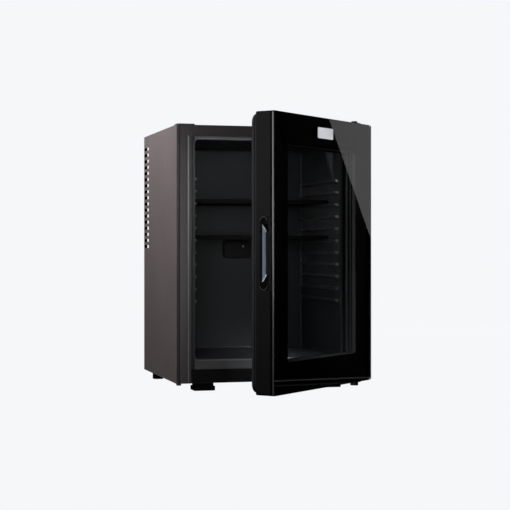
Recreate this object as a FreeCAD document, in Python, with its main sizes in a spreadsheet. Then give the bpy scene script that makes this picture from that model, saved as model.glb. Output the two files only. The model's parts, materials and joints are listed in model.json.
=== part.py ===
import FreeCAD, Part
import math
import os
import re

import Sketcher

# Driving dimensions in millimetres and degrees: name, value, what it measures.
DIMENSIONS = (
    ("cab_width", 400, "cabinet, outside width"),
    ("cab_height", 540, "cabinet, bottom edge to top"),
    ("cab_depth", 364, "cabinet, front plane to rear edge"),
    ("foot_height", 16, "floor to the bottom edge of the cabinet"),
    ("sheet_thick", 1, "steel sheet of the casing"),
    ("front_return", 6, "side panel, front edge turned inward"),
    ("rear_return", 8, "side panel, rear edge turned inward"),
    ("edge_radius", 2.5, "side panel, rounding of the bent edges"),
    ("chimney_depth", 62, "open space behind the insulated box"),
    ("vent_count", 17, "vent slots in each side panel"),
    ("vent_pitch", 14, "vent slots, centre to centre"),
    ("vent_height", 7, "vent slot, height"),
    ("vent_top", 30, "cabinet top to the centre of the highest vent slot"),
    ("vent_margin", 3.5, "vent slot ends to the chimney's front and rear"),
    ("frame_thick", 3, "front frame and liner flange, thickness"),
    ("frame_gap", 1, "front frame to the side panel's turned edge"),
    ("joint_gap", 0.2, "butt joints between the strips of the front frame and between the foam slabs"),
    ("ridge_inset", 4, "liner flange to the ridge of the front frame"),
    ("ridge_wide", 3, "front frame, rounded ridge, width"),
    ("ridge_proud", 1, "front frame, rounded ridge, height"),
    ("ridge_round", 0.9, "front frame, rounding of the ridge"),
    ("rail_deep", 46, "front plane to the rear edge of the top hinge rail"),
    ("flange_half", 169, "cabinet middle to the outside of the liner flange"),
    ("flange_low", 44.5, "floor to the lower edge of the liner flange"),
    ("flange_top", 533, "floor to the upper edge of the liner flange"),
    ("liner_width", 320, "inside of the liner, wall to wall"),
    ("liner_low", 66, "floor to the inside bottom of the liner"),
    ("liner_top", 525, "floor to the inside ceiling of the liner"),
    ("liner_depth", 280, "front plane to the inside rear wall of the liner"),
    ("liner_wall", 2, "liner, wall thickness"),
    ("liner_corner", 8, "liner, inside corner radius seen from the front"),
    ("liner_rear_radius", 6, "liner, inside radius along the rear wall"),
    ("liner_lip_radius", 1.5, "liner, rounding of the mouth and of the flange's edge"),
    ("plinth_setback", 1, "front plane to the face of the plinth"),
    ("plinth_thick", 2, "plinth, thickness"),
    ("rib_count", 11, "shelf ribs on each liner wall"),
    ("rib_pitch", 25.8, "shelf ribs, centre to centre"),
    ("rib_low", 188.7, "floor to the top of the lowest shelf rib"),
    ("rib_depth", 9, "shelf rib, reach into the compartment"),
    ("rib_height", 7, "shelf rib, height"),
    ("rib_front", 15, "front plane to the front end of the ribs"),
    ("rib_rear", 268, "front plane to the rear end of the ribs"),
    ("rib_end_radius", 8, "shelf rib, rounding of the front end"),
    ("upper_shelf_rib", 9, "rib that carries the upper shelf, from the bottom"),
    ("lower_shelf_rib", 6, "rib that carries the lower shelf, from the bottom"),
    ("shelf_side_gap", 3, "shelf to the liner wall"),
    ("shelf_front", 70, "front plane to the front edge of a shelf"),
    ("shelf_rear", 274, "front plane to the rear edge of a shelf"),
    ("shelf_thick", 8.5, "shelf, full height at the skirt"),
    ("shelf_plate", 2.5, "shelf, plate and skirt thickness"),
    ("shelf_rim", 5, "shelf, thickness of the front and rear skirt"),
    ("shelf_lift", 0.1, "running clearance of a shelf on its ribs"),
    ("shelf_slots", 15, "air slots in a shelf"),
    ("shelf_slot_pitch", 19, "air slots, centre to centre"),
    ("shelf_slot_wide", 7, "air slot, width"),
    ("shelf_slot_margin", 20, "shelf edge to the end centre of an air slot"),
    ("lamp_wide", 64, "lamp housing, width"),
    ("lamp_low", 275, "floor to the lower edge of the lamp housing"),
    ("lamp_high", 41, "lamp housing, height"),
    ("lamp_deep", 12, "lamp housing, reach from the rear wall"),
    ("lamp_corner", 8, "lamp housing, corner radius"),
    ("lamp_edge", 3, "lamp housing, rounding of the front edge"),
    ("lens_radius", 6, "lamp lens, radius"),
    ("lens_proud", 2, "lamp lens, reach from the housing"),
    ("lens_edge", 1.6, "lamp lens, rounding of the front edge"),
    ("lens_aside", 13, "lamp lens, distance from the cabinet middle"),
    ("foot_slab", 9, "front foot, height of the wide slab"),
    ("foot_setback", 2, "front plane to the front of a front foot"),
    ("foot_corner", 5, "feet, corner radius"),
    ("foot_edge", 1, "feet, rounding of the sole"),
    ("foot_step", 3, "front foot, slab beyond the block above it"),
    ("front_foot_wide", 46, "front foot, width"),
    ("front_foot_deep", 40, "front foot, depth"),
    ("front_foot_aside", 61, "cabinet side to the middle of a front foot"),
    ("rear_foot_wide", 22, "rear foot, width and depth"),
    ("rear_foot_aside", 18.5, "cabinet side to the middle of a rear foot"),
    ("door_width", 400, "door, width"),
    ("door_height", 543, "door, height"),
    ("door_frame_deep", 36, "door frame, thickness without the glass"),
    ("door_gap", 11.5, "door frame to the cabinet front, door closed"),
    ("door_lift", 1.7, "cabinet bottom edge to the door's bottom edge"),
    ("door_corner", 4, "door, corner radius"),
    ("door_rear_radius", 2, "door frame, rounding of the rear edge at the handle side"),
    ("door_open_angle", 42.65, "door, opening angle at rest"),
    ("hinge_inset", 16.5, "door edge to the hinge axis"),
    ("hinge_forward", 20, "cabinet front to the hinge axis"),
    ("seam_deep", 1.7, "open seam between the front pane and the frame, depth along the door's thickness"),
    ("seam_wide", 1.5, "open seam, reach in from the door's edge"),
    ("front_glass_thick", 5, "front pane, thickness"),
    ("glass_bevel", 0.8, "front pane, polished bevel"),
    ("inner_glass_thick", 4, "inner pane, thickness"),
    ("window_border", 60, "door edge to the window"),
    ("window_corner", 6, "window, corner radius"),
    ("rebate_wide", 12, "seat of the inner pane beyond the window"),
    ("rebate_deep", 8, "seat of the inner pane, depth from the rear"),
    ("pane_play", 0.5, "inner pane and bead to the seat's edge"),
    ("bead_lap", 2, "glazing bead, reach over the window's edge"),
    ("gasket_inset", 2.5, "door edge to the gasket"),
    ("gasket_hinge_inset", 19, "hinge edge of the door to the gasket"),
    ("gasket_wide", 11, "gasket, width of its base"),
    ("gasket_base", 2, "gasket, base thickness"),
    ("gasket_neck", 3.2, "gasket, height of the bellows neck"),
    ("gasket_bulb", 4.8, "gasket, height of the magnet bulb"),
    ("gasket_bulb_wide", 10, "gasket, width of the magnet bulb"),
    ("soft_play", 0.1, "clearance of the gasket, the magnets and the grip cup in their seats"),
    ("gasket_dart", 4, "gasket, width and depth of the dart in its groove"),
    ("gasket_corner", 8, "gasket, outside corner radius"),
    ("magnet_wide", 5, "magnet strip, width"),
    ("magnet_thick", 2, "magnet strip, thickness"),
    ("grip_middle", 289, "floor to the middle of the finger grip"),
    ("grip_from_rear", 22.7, "door frame rear face to the middle of the grip's opening"),
    ("grip_long", 111, "finger grip, length of the opening"),
    ("grip_wide", 14.7, "finger grip, width of the opening"),
    ("grip_deep", 10.3, "finger grip, depth from the door's edge"),
    ("grip_corner", 1.5, "finger grip, corner radius of the recess"),
    ("grip_floor_long", 83, "finger grip, length of the recess at its floor"),
    ("grip_floor_wide", 11.3, "finger grip, width of the recess at its floor"),
    ("grip_wall", 2.3, "finger grip, wall thickness of the cup"),
    ("bezel_long", 147, "finger grip, length of the bezel"),
    ("bezel_wide", 25, "finger grip, width of the bezel"),
    ("bezel_thick", 1.2, "finger grip, thickness of the bezel"),
    ("bezel_corner", 6, "finger grip, corner radius of the bezel"),
    ("bezel_edge", 0.6, "finger grip, rounding of the bezel's edge"),
    ("bezel_shift", 1.3, "finger grip, middle of the bezel behind the middle of the opening"),
    ("pin_radius", 4, "hinge pin, radius"),
    ("pin_play", 0.05, "hinge pin to bush, radial clearance"),
    ("pin_bevel", 1, "hinge pin, bevel of its ends"),
    ("pin_in_door", 16, "hinge pin, reach into the door"),
    ("bush_wall", 2, "hinge bush, wall thickness"),
    ("bush_long", 18, "hinge bush, depth in the door"),
    ("bush_flange", 1.1, "hinge bush, flange thickness"),
    ("plate_thick", 3, "hinge plate and bracket, thickness"),
    ("plate_half", 14, "hinge plate and bracket, half width"),
    ("plate_over_door", 1.5, "door top to the underside of the hinge plate"),
    ("plate_setback", 1, "front plane to the step of the top hinge plate"),
    ("plate_reach", 42, "front plane to the rear end of the hinge plate"),
    ("screw_radius", 2.5, "hinge screw, shank radius"),
    ("screw_head", 4.75, "hinge screw, head radius"),
    ("screw_head_high", 2.6, "hinge screw, head height"),
    ("screw_count", 2, "hinge screws on each plate"),
    ("screw_first", 15, "front plane to the first hinge screw"),
    ("screw_pitch", 16, "hinge screws, centre to centre"),
    ("pin_head", 7, "upper hinge pin, head radius"),
    ("pin_head_high", 4.3, "upper hinge pin, head height"),
    ("nut_across", 15, "lower hinge nut, across flats"),
    ("nut_high", 7.5, "lower hinge nut, height"),
    ("cover_wide", 38.5, "upper hinge hole cover, width"),
    ("cover_deep", 30, "upper hinge hole cover, depth"),
    ("cover_thick", 2.5, "upper hinge hole cover, thickness"),
    ("cover_margin", 1.5, "upper hinge hole cover to the cabinet's edges"),
    ("cover_corner", 3, "hinge hole cover and plug, corner radius"),
    ("cover_edge", 1, "upper hinge hole cover, rounding of the top edge"),
    ("plug_wide", 9.5, "lower hinge hole plug, width"),
    ("plug_high", 4, "lower hinge hole plug, height"),
    ("tube_radius", 8, "cooling unit, outside radius of the tubes"),
    ("tube_play", 0.3, "cooling unit tube to the holes it passes"),
    ("unit_middle", 333, "front plane to the middle of the cooling unit"),
    ("boiler_radius", 28, "boiler casing, radius"),
    ("boiler_aside", 128, "cabinet middle to the boiler"),
    ("boiler_top", 300, "floor to the upper end of the boiler casing"),
    ("boiler_edge", 3, "boiler casing, rounding of its ends"),
    ("vessel_radius", 24, "absorber vessel, radius"),
    ("vessel_long", 220, "absorber vessel, length"),
    ("vessel_middle", 82, "floor to the middle of the absorber vessel"),
    ("vessel_aside", -50, "cabinet middle to the middle of the absorber vessel"),
    ("vessel_dome", 14, "absorber vessel, rounding of its ends"),
    ("saddle_count", 2, "vessel saddles"),
    ("saddle_wide", 14, "vessel saddle, width"),
    ("saddle_deep", 48, "vessel saddle, depth"),
    ("saddle_top", 70, "floor to the top of a vessel saddle"),
    ("saddle_pitch", 130, "vessel saddles, centre to centre"),
    ("coil_left", -85, "absorber coil, left end of the straight runs"),
    ("coil_right", 50, "absorber coil, right end of the straight runs"),
    ("coil_low", 140, "floor to the lowest run of the absorber coil"),
    ("coil_pitch", 34, "absorber coil, run to run"),
    ("coil_runs", 4, "absorber coil, number of runs"),
    ("coil_bend", 20, "absorber coil, radius of its first and last bend"),
    ("condenser_left", -120, "condenser, left end of the straight runs"),
    ("condenser_right", 62, "condenser, right end of the lower run"),
    ("condenser_low", 458, "floor to the lower condenser run"),
    ("condenser_pitch", 44, "condenser, run to run"),
    ("condenser_bend", 26, "condenser, bend radius over the boiler"),
    ("fin_count", 15, "condenser fins"),
    ("fin_pitch", 13, "condenser fins, centre to centre"),
    ("fin_thick", 1, "condenser fin, thickness"),
    ("fin_deep", 56, "condenser fin, depth"),
    ("fin_high", 84, "condenser fin, height"),
    ("fin_first", -112, "cabinet middle to the first fin"),
    ("evaporator_wide", 240, "evaporator plate, width"),
    ("evaporator_corner", 4, "evaporator plate, corner radius"),
    ("evaporator_low", 370, "floor to the lower edge of the evaporator plate"),
    ("evaporator_high", 130, "evaporator plate, height"),
    ("evaporator_thick", 6, "evaporator plate, thickness"),
    ("return_low", 330, "floor to the lower end of the return tube"),
    ("return_top", 420, "floor to the horizontal run of the return tube"),
    ("return_bend", 20, "evaporator return tube, bend radius"),
    ("strap_thick", 2, "cooling unit strap, thickness"),
    ("strap_high", 24, "cooling unit strap, height"),
    ("upper_strap", 468, "floor to the upper strap"),
    ("lower_strap", 250, "floor to the lower strap"),
    ("bar_high", 26, "rear cross bar, height"),
    ("bar_deep", 22, "rear cross bar, depth"),
    ("box_wide", 92, "electrical box, width"),
    ("box_high", 58, "electrical box, height"),
    ("box_deep", 40, "electrical box, depth"),
    ("box_low", 336, "floor to the lower edge of the electrical box"),
    ("box_left", -40, "cabinet middle to the left end of the electrical box"),
    ("box_corner", 4, "electrical box, corner radius"),
    ("gland_radius", 8, "cord gland, radius"),
    ("gland_long", 12, "cord gland, length"),
)

V = FreeCAD.Vector
doc = FreeCAD.newDocument("minibar_fridge")
sheet = doc.addObject("Spreadsheet::Sheet", "Sizes")
for row, (name, number, note) in enumerate(DIMENSIONS, start=1):
    sheet.set(f"A{row}", note)
    sheet.set(f"B{row}", str(number))
    sheet.setAlias(f"B{row}", name)
doc.recompute()
NAMES = {name for name, _, _ in DIMENSIONS}
nodes = []

# Frames that the pieces are drawn in, x to the right, y to the back and z up from the floor.
# cabinet: from the middle of the front plane. hinge: from the hinge axis. door: turned about that axis.
HINGE = {
    "Base.x": "cab_width / 2 - hinge_inset",
    "Base.y": "-cab_depth / 2 - hinge_forward",
}
FRAMES = {
    "cabinet": {"Base.y": "-cab_depth / 2"},
    "hinge": HINGE,
    "door": {**HINGE, "Rotation.Angle": "door_open_angle"},
}

# Levels and planes that several pieces share.
CAB_TOP = "(foot_height + cab_height)"
FOAM_HALF = "(cab_width / 2 - sheet_thick)"
FOAM_LOW = "(foot_height + sheet_thick)"
FOAM_TOP = "(foot_height + cab_height - sheet_thick)"
CHIMNEY_FRONT = "(cab_depth - chimney_depth)"
DOOR_LEFT = "(hinge_inset - door_width)"
DOOR_LOW = "(foot_height + door_lift)"
DOOR_TOP = "(foot_height + door_lift + door_height)"
DOOR_REAR = "(hinge_forward - door_gap)"
FRAME_FRONT = "(hinge_forward - door_gap - door_frame_deep)"
RETURN_ASIDE = "(coil_left - coil_bend)"
FEED_ASIDE = "(condenser_right + 2 * return_bend)"
BAR_HALF = "(cab_width / 2 - edge_radius)"
BAR_SEAT = "(foot_height + strap_thick)"


def formula(text):
    """The same formula with every size name pointing at its cell of the sheet."""
    return re.sub(r"[a-z]\w*", lambda m: f"Sizes.{m[0]}" if m[0] in NAMES else m[0], text)


def value(text):
    """The number that a formula gives."""
    return float(sheet.evalExpression(text))


def bind(item, where, text):
    item.setExpression(where, formula(text))


def add_body(label, frame, many=False):
    """A new sub-part in one of the frames; many lets it hold a group of separate solids."""
    body = doc.addObject("PartDesign::Body", label)
    body.Label = label
    body.AllowCompound = many
    for where, text in FRAMES[frame].items():
        bind(body, f"Placement.{where}", text)
    nodes.append(body)
    return body


def origin_feature(body, role):
    return next(item for item in body.Origin.OriginFeatures if item.Role == role)


def add_sketch(body, plane, level):
    """A sketch parallel to a plane of the body, at that level of the remaining axis."""
    sketch = body.newObject("Sketcher::SketchObject", f"{body.Label}_sketch")
    sketch.AttachmentSupport = (origin_feature(body, f"{plane}_Plane"), [""])
    sketch.MapMode = "FlatFace"
    bind(sketch, "AttachmentOffset.Base.z", f"-({level})" if plane == "XZ" else level)
    return sketch


def tie(sketch, *constraint):
    return sketch.addConstraint(Sketcher.Constraint(*constraint))


def locate(sketch, geometry, point, across=None, up=None):
    """Hold a point of the sketch at formulas measured from the sketch origin."""
    for kind, axis, text in (("DistanceX", -2, across), ("DistanceY", -1, up)):
        if text is None:
            continue
        if abs(value(text)) < 1e-9:
            tie(sketch, "PointOnObject", geometry, point, axis)
            continue
        index = tie(sketch, kind, -1, 1, geometry, point, value(text))
        bind(sketch, f"Constraints[{index}]", text)


def polygon(sketch, points):
    """A closed outline of straight edges."""
    corners = [V(value(across), value(up), 0) for across, up in points]
    following = corners[1:] + corners[:1]
    lines = [sketch.addGeometry(Part.LineSegment(a, b)) for a, b in zip(corners, following)]
    for i, line in enumerate(lines):
        tie(sketch, "Coincident", line, 2, lines[(i + 1) % len(lines)], 1)
        locate(sketch, line, 1, *points[i])


def box(sketch, left, low, right, top):
    polygon(sketch, [(left, low), (right, low), (right, top), (left, top)])


def rounded_box(sketch, left, low, right, top, radius):
    """A rectangle with four equal round corners."""
    x0, y0, x1, y1, r = (value(text) for text in (left, low, right, top, radius))
    centres = ((x0 + r, y0 + r), (x1 - r, y0 + r), (x1 - r, y1 - r), (x0 + r, y1 - r))
    arcs = []
    for quarter, (cx, cy) in enumerate(centres, start=2):
        circle_curve = Part.Circle(V(cx, cy, 0), V(0, 0, 1), r)
        start = quarter * math.pi / 2
        arcs.append(sketch.addGeometry(Part.ArcOfCircle(circle_curve, start, start + math.pi / 2)))
    for i, places in enumerate(({"up": low}, {"across": right}, {"up": top}, {"across": left})):
        after = arcs[(i + 1) % 4]
        line = sketch.addGeometry(Part.LineSegment(sketch.getPoint(arcs[i], 2), sketch.getPoint(after, 1)))
        tie(sketch, "Tangent", arcs[i], 2, line, 1)
        tie(sketch, "Tangent", line, 2, after, 1)
        tie(sketch, "Vertical" if i % 2 else "Horizontal", line)
        locate(sketch, line, 1, **places)
    for arc in arcs[1:]:
        tie(sketch, "Equal", arcs[0], arc)
    bind(sketch, f"Constraints[{tie(sketch, 'Radius', arcs[0], r)}]", radius)


def obround(sketch, centres, radius):
    """A slot with half-round ends round two centres."""
    points = [V(value(across), value(up), 0) for across, up in centres]
    along = points[1] - points[0]
    heading = math.atan2(along.y, along.x)
    ends = []
    for point, place, start in zip(points, centres, (heading + math.pi / 2, heading - math.pi / 2)):
        circle_curve = Part.Circle(point, V(0, 0, 1), value(radius))
        ends.append(sketch.addGeometry(Part.ArcOfCircle(circle_curve, start, start + math.pi)))
        locate(sketch, ends[-1], 3, *place)
    for first, second in (ends, ends[::-1]):
        line = sketch.addGeometry(Part.LineSegment(sketch.getPoint(first, 2), sketch.getPoint(second, 1)))
        tie(sketch, "Tangent", first, 2, line, 1)
        tie(sketch, "Tangent", line, 2, second, 1)
    bind(sketch, f"Constraints[{tie(sketch, 'Radius', ends[0], value(radius))}]", radius)


def circle(sketch, across, up, radius):
    centre = V(value(across), value(up), 0)
    ring = sketch.addGeometry(Part.Circle(centre, V(0, 0, 1), value(radius)))
    locate(sketch, ring, 3, across, up)
    bind(sketch, f"Constraints[{tie(sketch, 'Radius', ring, value(radius))}]", radius)


def pad(body, sketch, length, back=False):
    """Add material from the sketch along its normal, or against it."""
    feature = body.newObject("PartDesign::Pad", f"{body.Label}_pad")
    feature.Profile = sketch
    feature.Reversed = back
    bind(feature, "Length", length)
    doc.recompute()
    return feature


def apply_cut(body, feature):
    """Compute a cutting feature and make sure that it cut something."""
    before = feature.BaseFeature.Shape.Volume
    doc.recompute()
    if body.Shape.Volume >= before:
        raise RuntimeError(f"{feature.Label} cuts nothing: {feature.getStatusString()}")
    return feature


def pocket(body, sketch, depth, back=False):
    """Cut from the sketch against its normal, or along it."""
    feature = body.newObject("PartDesign::Pocket", f"{body.Label}_pocket")
    feature.Profile = sketch
    feature.Reversed = back
    bind(feature, "Length", depth)
    return apply_cut(body, feature)


def sink(body, mouth, floor):
    """Cut a hollow that narrows from one outline to another."""
    feature = body.newObject("PartDesign::SubtractiveLoft", f"{body.Label}_hollow")
    feature.Profile = mouth
    feature.Sections = [floor]
    feature.Ruled = True
    return apply_cut(body, feature)


def turn(body, points):
    """A solid turned about the body's upright axis, from half of its section."""
    sketch = add_sketch(body, "XZ", "0")
    polygon(sketch, points)
    feature = body.newObject("PartDesign::Revolution", f"{body.Label}_turn")
    feature.Profile = sketch
    feature.ReferenceAxis = (sketch, ["V_Axis"])
    feature.Angle = 360
    doc.recompute()
    return feature


def repeat(body, features, axis, count, pitch):
    """Copy features along an axis of the body."""
    pattern = body.newObject("PartDesign::LinearPattern", f"{body.Label}_row")
    pattern.Originals = features
    pattern.Direction = (origin_feature(body, f"{axis}_Axis"), [""])
    bind(pattern, "Length", f"({count} - 1) * {pitch}")
    bind(pattern, "Occurrences", count)
    body.Tip = pattern
    doc.recompute()


def round_edges(body, radius, chosen, kind="Fillet"):
    """Round, or bevel, the edges that the test chooses."""
    base = body.Tip
    names = [f"Edge{i}" for i, edge in enumerate(base.Shape.Edges, start=1) if chosen(edge.BoundBox)]
    if not names:
        raise RuntimeError(f"no edge of {body.Label} was chosen")
    feature = body.newObject(f"PartDesign::{kind}", f"{body.Label}_{kind.lower()}")
    feature.Base = (base, names)
    bind(feature, "Radius" if kind == "Fillet" else "Size", radius)
    doc.recompute()


def near(number, text):
    return abs(number - value(text)) < 0.01


def upright_at(x=None, y=None):
    """A test for upright edges at these places."""

    def chosen(b):
        here = (x is None or near(b.XMin, x)) and (y is None or near(b.YMin, y))
        return b.XLength < 0.01 and b.YLength < 0.01 and b.ZLength > 0.01 and here

    return chosen


def in_plane(axis, level):
    """A test for edges that lie in a plane."""

    def chosen(b):
        return near(getattr(b, f"{axis}Min"), level) and near(getattr(b, f"{axis}Max"), level)

    return chosen


def plate(label, frame, plane, level, corners, thick, back=False):
    """A flat rectangular sheet."""
    body = add_body(label, frame)
    sketch = add_sketch(body, plane, level)
    box(sketch, *corners)
    pad(body, sketch, thick, back)
    return body


# Casing


def side_panel(label, hand):
    """Bent sheet with turned front and rear edges and a column of vent slots over the chimney."""
    body = add_body(label, "cabinet")
    outside = f"{hand} * cab_width / 2"
    inside = f"{hand} * (cab_width / 2 - sheet_thick)"
    front_end = f"{hand} * (cab_width / 2 - front_return)"
    rear_end = f"{hand} * (cab_width / 2 - rear_return)"
    section = add_sketch(body, "XY", "foot_height")
    polygon(section, [
        (outside, "0"),
        (front_end, "0"),
        (front_end, "sheet_thick"),
        (inside, "sheet_thick"),
        (inside, "cab_depth - sheet_thick"),
        (rear_end, "cab_depth - sheet_thick"),
        (rear_end, "cab_depth"),
        (outside, "cab_depth"),
    ])
    pad(body, section, "cab_height")
    round_edges(body, "edge_radius", upright_at(x=outside))
    inner_radius = "edge_radius - sheet_thick"
    round_edges(body, inner_radius, upright_at(x=inside))
    slot_sketch = add_sketch(body, "YZ", outside)
    lowest = f"{CAB_TOP} - vent_top - (vent_count - 1) * vent_pitch"
    front = f"{CHIMNEY_FRONT} + vent_margin + vent_height / 2"
    rear = "cab_depth - vent_margin - vent_height / 2"
    obround(slot_sketch, [(front, lowest), (rear, lowest)], "vent_height / 2")
    slot = pocket(body, slot_sketch, "2 * sheet_thick", back=hand < 0)
    repeat(body, [slot], "Z", "vent_count", "vent_pitch")


def top_panel():
    """Sheet between the side panels with its rear edge turned down."""
    body = add_body("top_panel", "cabinet")
    section = add_sketch(body, "YZ", f"-{FOAM_HALF}")
    polygon(section, [
        ("rail_deep", CAB_TOP),
        ("rail_deep", FOAM_TOP),
        ("cab_depth - edge_radius - sheet_thick", FOAM_TOP),
        ("cab_depth - edge_radius - sheet_thick", f"{FOAM_TOP} - rear_return"),
        ("cab_depth - edge_radius", f"{FOAM_TOP} - rear_return"),
        ("cab_depth - edge_radius", CAB_TOP),
    ])
    pad(body, section, f"2 * {FOAM_HALF}")


def top_hinge_rail():
    """Front strip of the cabinet top, drilled for a hinge plate at either end."""
    corners = (f"-{FOAM_HALF}", "frame_thick", FOAM_HALF, "rail_deep")
    body = plate("top_hinge_rail", "cabinet", "XY", FOAM_TOP, corners, "sheet_thick")
    holes = add_sketch(body, "XY", CAB_TOP)
    for hand in (-1, 1):
        for along in ("screw_first", "screw_first + screw_pitch"):
            circle(holes, f"{hand} * (cab_width / 2 - hinge_inset)", along, "screw_radius")
    pocket(body, holes, "2 * sheet_thick")


def base_panel():
    """Bottom sheet under the insulation, with the holes of the lower hinge screws."""
    corners = (f"-{FOAM_HALF}", "frame_thick", FOAM_HALF, CHIMNEY_FRONT)
    body = plate("base_panel", "cabinet", "XY", "foot_height", corners, "sheet_thick")
    holes = add_sketch(body, "XY", FOAM_LOW)
    for along in ("screw_first", "screw_first + screw_pitch"):
        circle(holes, "cab_width / 2 - hinge_inset", along, "screw_radius")
    pocket(body, holes, "2 * sheet_thick")


def back_plate():
    """Sheet that closes the insulated box towards the chimney."""
    corners = (f"-{FOAM_HALF}", FOAM_LOW, FOAM_HALF, FOAM_TOP)
    level = f"{CHIMNEY_FRONT} - sheet_thick"
    body = plate("insulation_back_plate", "cabinet", "XZ", level, corners, "sheet_thick", back=True)
    hole = add_sketch(body, "XZ", level)
    tube_passages(hole)
    pocket(body, hole, "sheet_thick")


def rear_cross_bar():
    """Angle bar that ties the side panels at the bottom of the chimney and carries the cooling unit."""
    body = add_body("rear_cross_bar", "cabinet")
    section = add_sketch(body, "YZ", f"-{BAR_HALF}")
    rear = "cab_depth - sheet_thick"
    polygon(section, [
        (rear, "foot_height"),
        (rear, "foot_height + bar_high"),
        (f"{rear} - strap_thick", "foot_height + bar_high"),
        (f"{rear} - strap_thick", BAR_SEAT),
        (f"{rear} - bar_deep", BAR_SEAT),
        (f"{rear} - bar_deep", "foot_height"),
    ])
    pad(body, section, f"2 * {BAR_HALF}")


def liner_outline(sketch, beyond):
    """Outline of the compartment seen from the front, widened on every side."""
    rounded_box(
        sketch,
        f"-liner_width / 2 - ({beyond})",
        f"liner_low - ({beyond})",
        f"liner_width / 2 + {beyond}",
        f"liner_top + {beyond}",
        f"liner_corner + {beyond}",
    )


def foam_insulation():
    """Five slabs of rigid foam round the liner; the rear one holds the evaporator's seat."""
    body = add_body("foam_insulation", "cabinet", many=True)
    half = "(liner_width / 2 + liner_wall)"
    low, top = "(liner_low - liner_wall)", "(liner_top + liner_wall)"
    wall_low, wall_top = f"{low} + joint_gap", f"{top} - joint_gap"
    slabs = add_sketch(body, "XZ", "frame_thick")
    box(slabs, f"-{FOAM_HALF}", FOAM_LOW, FOAM_HALF, low)
    box(slabs, f"-{FOAM_HALF}", top, FOAM_HALF, FOAM_TOP)
    box(slabs, f"-{FOAM_HALF}", wall_low, f"-{half}", wall_top)
    box(slabs, half, wall_low, FOAM_HALF, wall_top)
    pad(body, slabs, f"{CHIMNEY_FRONT} - sheet_thick - frame_thick", back=True)
    rear = "(liner_depth + liner_wall)"
    rear_slab = add_sketch(body, "XZ", rear)
    box(rear_slab, f"joint_gap - {half}", wall_low, f"{half} - joint_gap", wall_top)
    pad(body, rear_slab, f"{CHIMNEY_FRONT} - sheet_thick - {rear}", back=True)
    plate_seat = add_sketch(body, "XZ", rear)
    evaporator_outline(plate_seat)
    pocket(body, plate_seat, "evaporator_thick")
    passage = add_sketch(body, "XZ", f"{rear} + evaporator_thick")
    tube_passages(passage)
    pocket(body, passage, "chimney_depth")


def tube_passages(sketch):
    """Holes of the two evaporator tubes."""
    circle(sketch, RETURN_ASIDE, "return_top", "tube_radius + tube_play")
    circle(sketch, FEED_ASIDE, "condenser_low", "tube_radius + tube_play")


def evaporator_outline(sketch):
    top = "evaporator_low + evaporator_high"
    half = "evaporator_wide / 2"
    rounded_box(sketch, f"-{half}", "evaporator_low", half, top, "evaporator_corner")


# Front and compartment


def inner_liner():
    """Moulded tub with round corners and a flat flange round its mouth."""
    body = add_body("inner_liner", "cabinet")
    tub = add_sketch(body, "XZ", "0")
    liner_outline(tub, "liner_wall")
    pad(body, tub, "liner_depth + liner_wall", back=True)
    flange = add_sketch(body, "XZ", "0")
    box(flange, "-flange_half", "flange_low", "flange_half", "flange_top")
    pad(body, flange, "frame_thick", back=True)
    hollow = add_sketch(body, "XZ", "0")
    liner_outline(hollow, "0")
    pocket(body, hollow, "liner_depth")
    round_edges(body, "liner_rear_radius", in_plane("Y", "liner_depth"))
    rear = "liner_depth + liner_wall"
    round_edges(body, "liner_rear_radius + liner_wall", in_plane("Y", rear))
    round_edges(body, "liner_lip_radius", in_plane("Y", "0"))


def shelf_ribs(label, hand):
    """Ladder of shelf ribs on one liner wall, each with a round front end and a drafted underside."""
    body = add_body(label, "cabinet", many=True)
    wall = f"{hand} * liner_width / 2"
    reach = f"{hand} * (liner_width / 2 - rib_depth)"
    section = add_sketch(body, "XZ", "rib_front")
    polygon(section, [
        (wall, "rib_low"),
        (reach, "rib_low"),
        (reach, "rib_low - rib_height / 2"),
        (wall, "rib_low - rib_height"),
    ])
    rib = pad(body, section, "rib_rear - rib_front", back=True)
    round_edges(body, "rib_end_radius", upright_at(x=reach, y="rib_front"))
    repeat(body, [rib, body.Tip], "Z", "rib_count", "rib_pitch")


def shelf(label, rib):
    """Moulded shelf: a slotted plate with a skirt, rounded along its front."""
    body = add_body(label, "cabinet")
    half = "liner_width / 2 - shelf_side_gap"
    low = f"rib_low + ({rib} - 1) * rib_pitch + shelf_lift"
    outline = add_sketch(body, "XY", low)
    rounded_box(outline, f"-({half})", "shelf_front", half, "shelf_rear", "rib_depth")
    pad(body, outline, "shelf_thick")
    round_edges(body, "shelf_plate", in_plane("Z", f"{low} + shelf_thick"))
    hollow = add_sketch(body, "XY", low)
    rounded_box(
        hollow,
        f"-({half} - rib_depth)",
        "shelf_front + shelf_rim",
        f"{half} - rib_depth",
        "shelf_rear - shelf_rim",
        "shelf_plate",
    )
    pocket(body, hollow, "shelf_thick - shelf_plate", back=True)
    slot_sketch = add_sketch(body, "XY", f"{low} + shelf_thick")
    first = "-(shelf_slots - 1) / 2 * shelf_slot_pitch"
    slot_ends = [(first, "shelf_front + shelf_slot_margin"), (first, "shelf_rear - shelf_slot_margin")]
    obround(slot_sketch, slot_ends, "shelf_slot_wide / 2")
    slot = pocket(body, slot_sketch, "2 * shelf_plate")
    repeat(body, [slot], "X", "shelf_slots", "shelf_slot_pitch")


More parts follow.
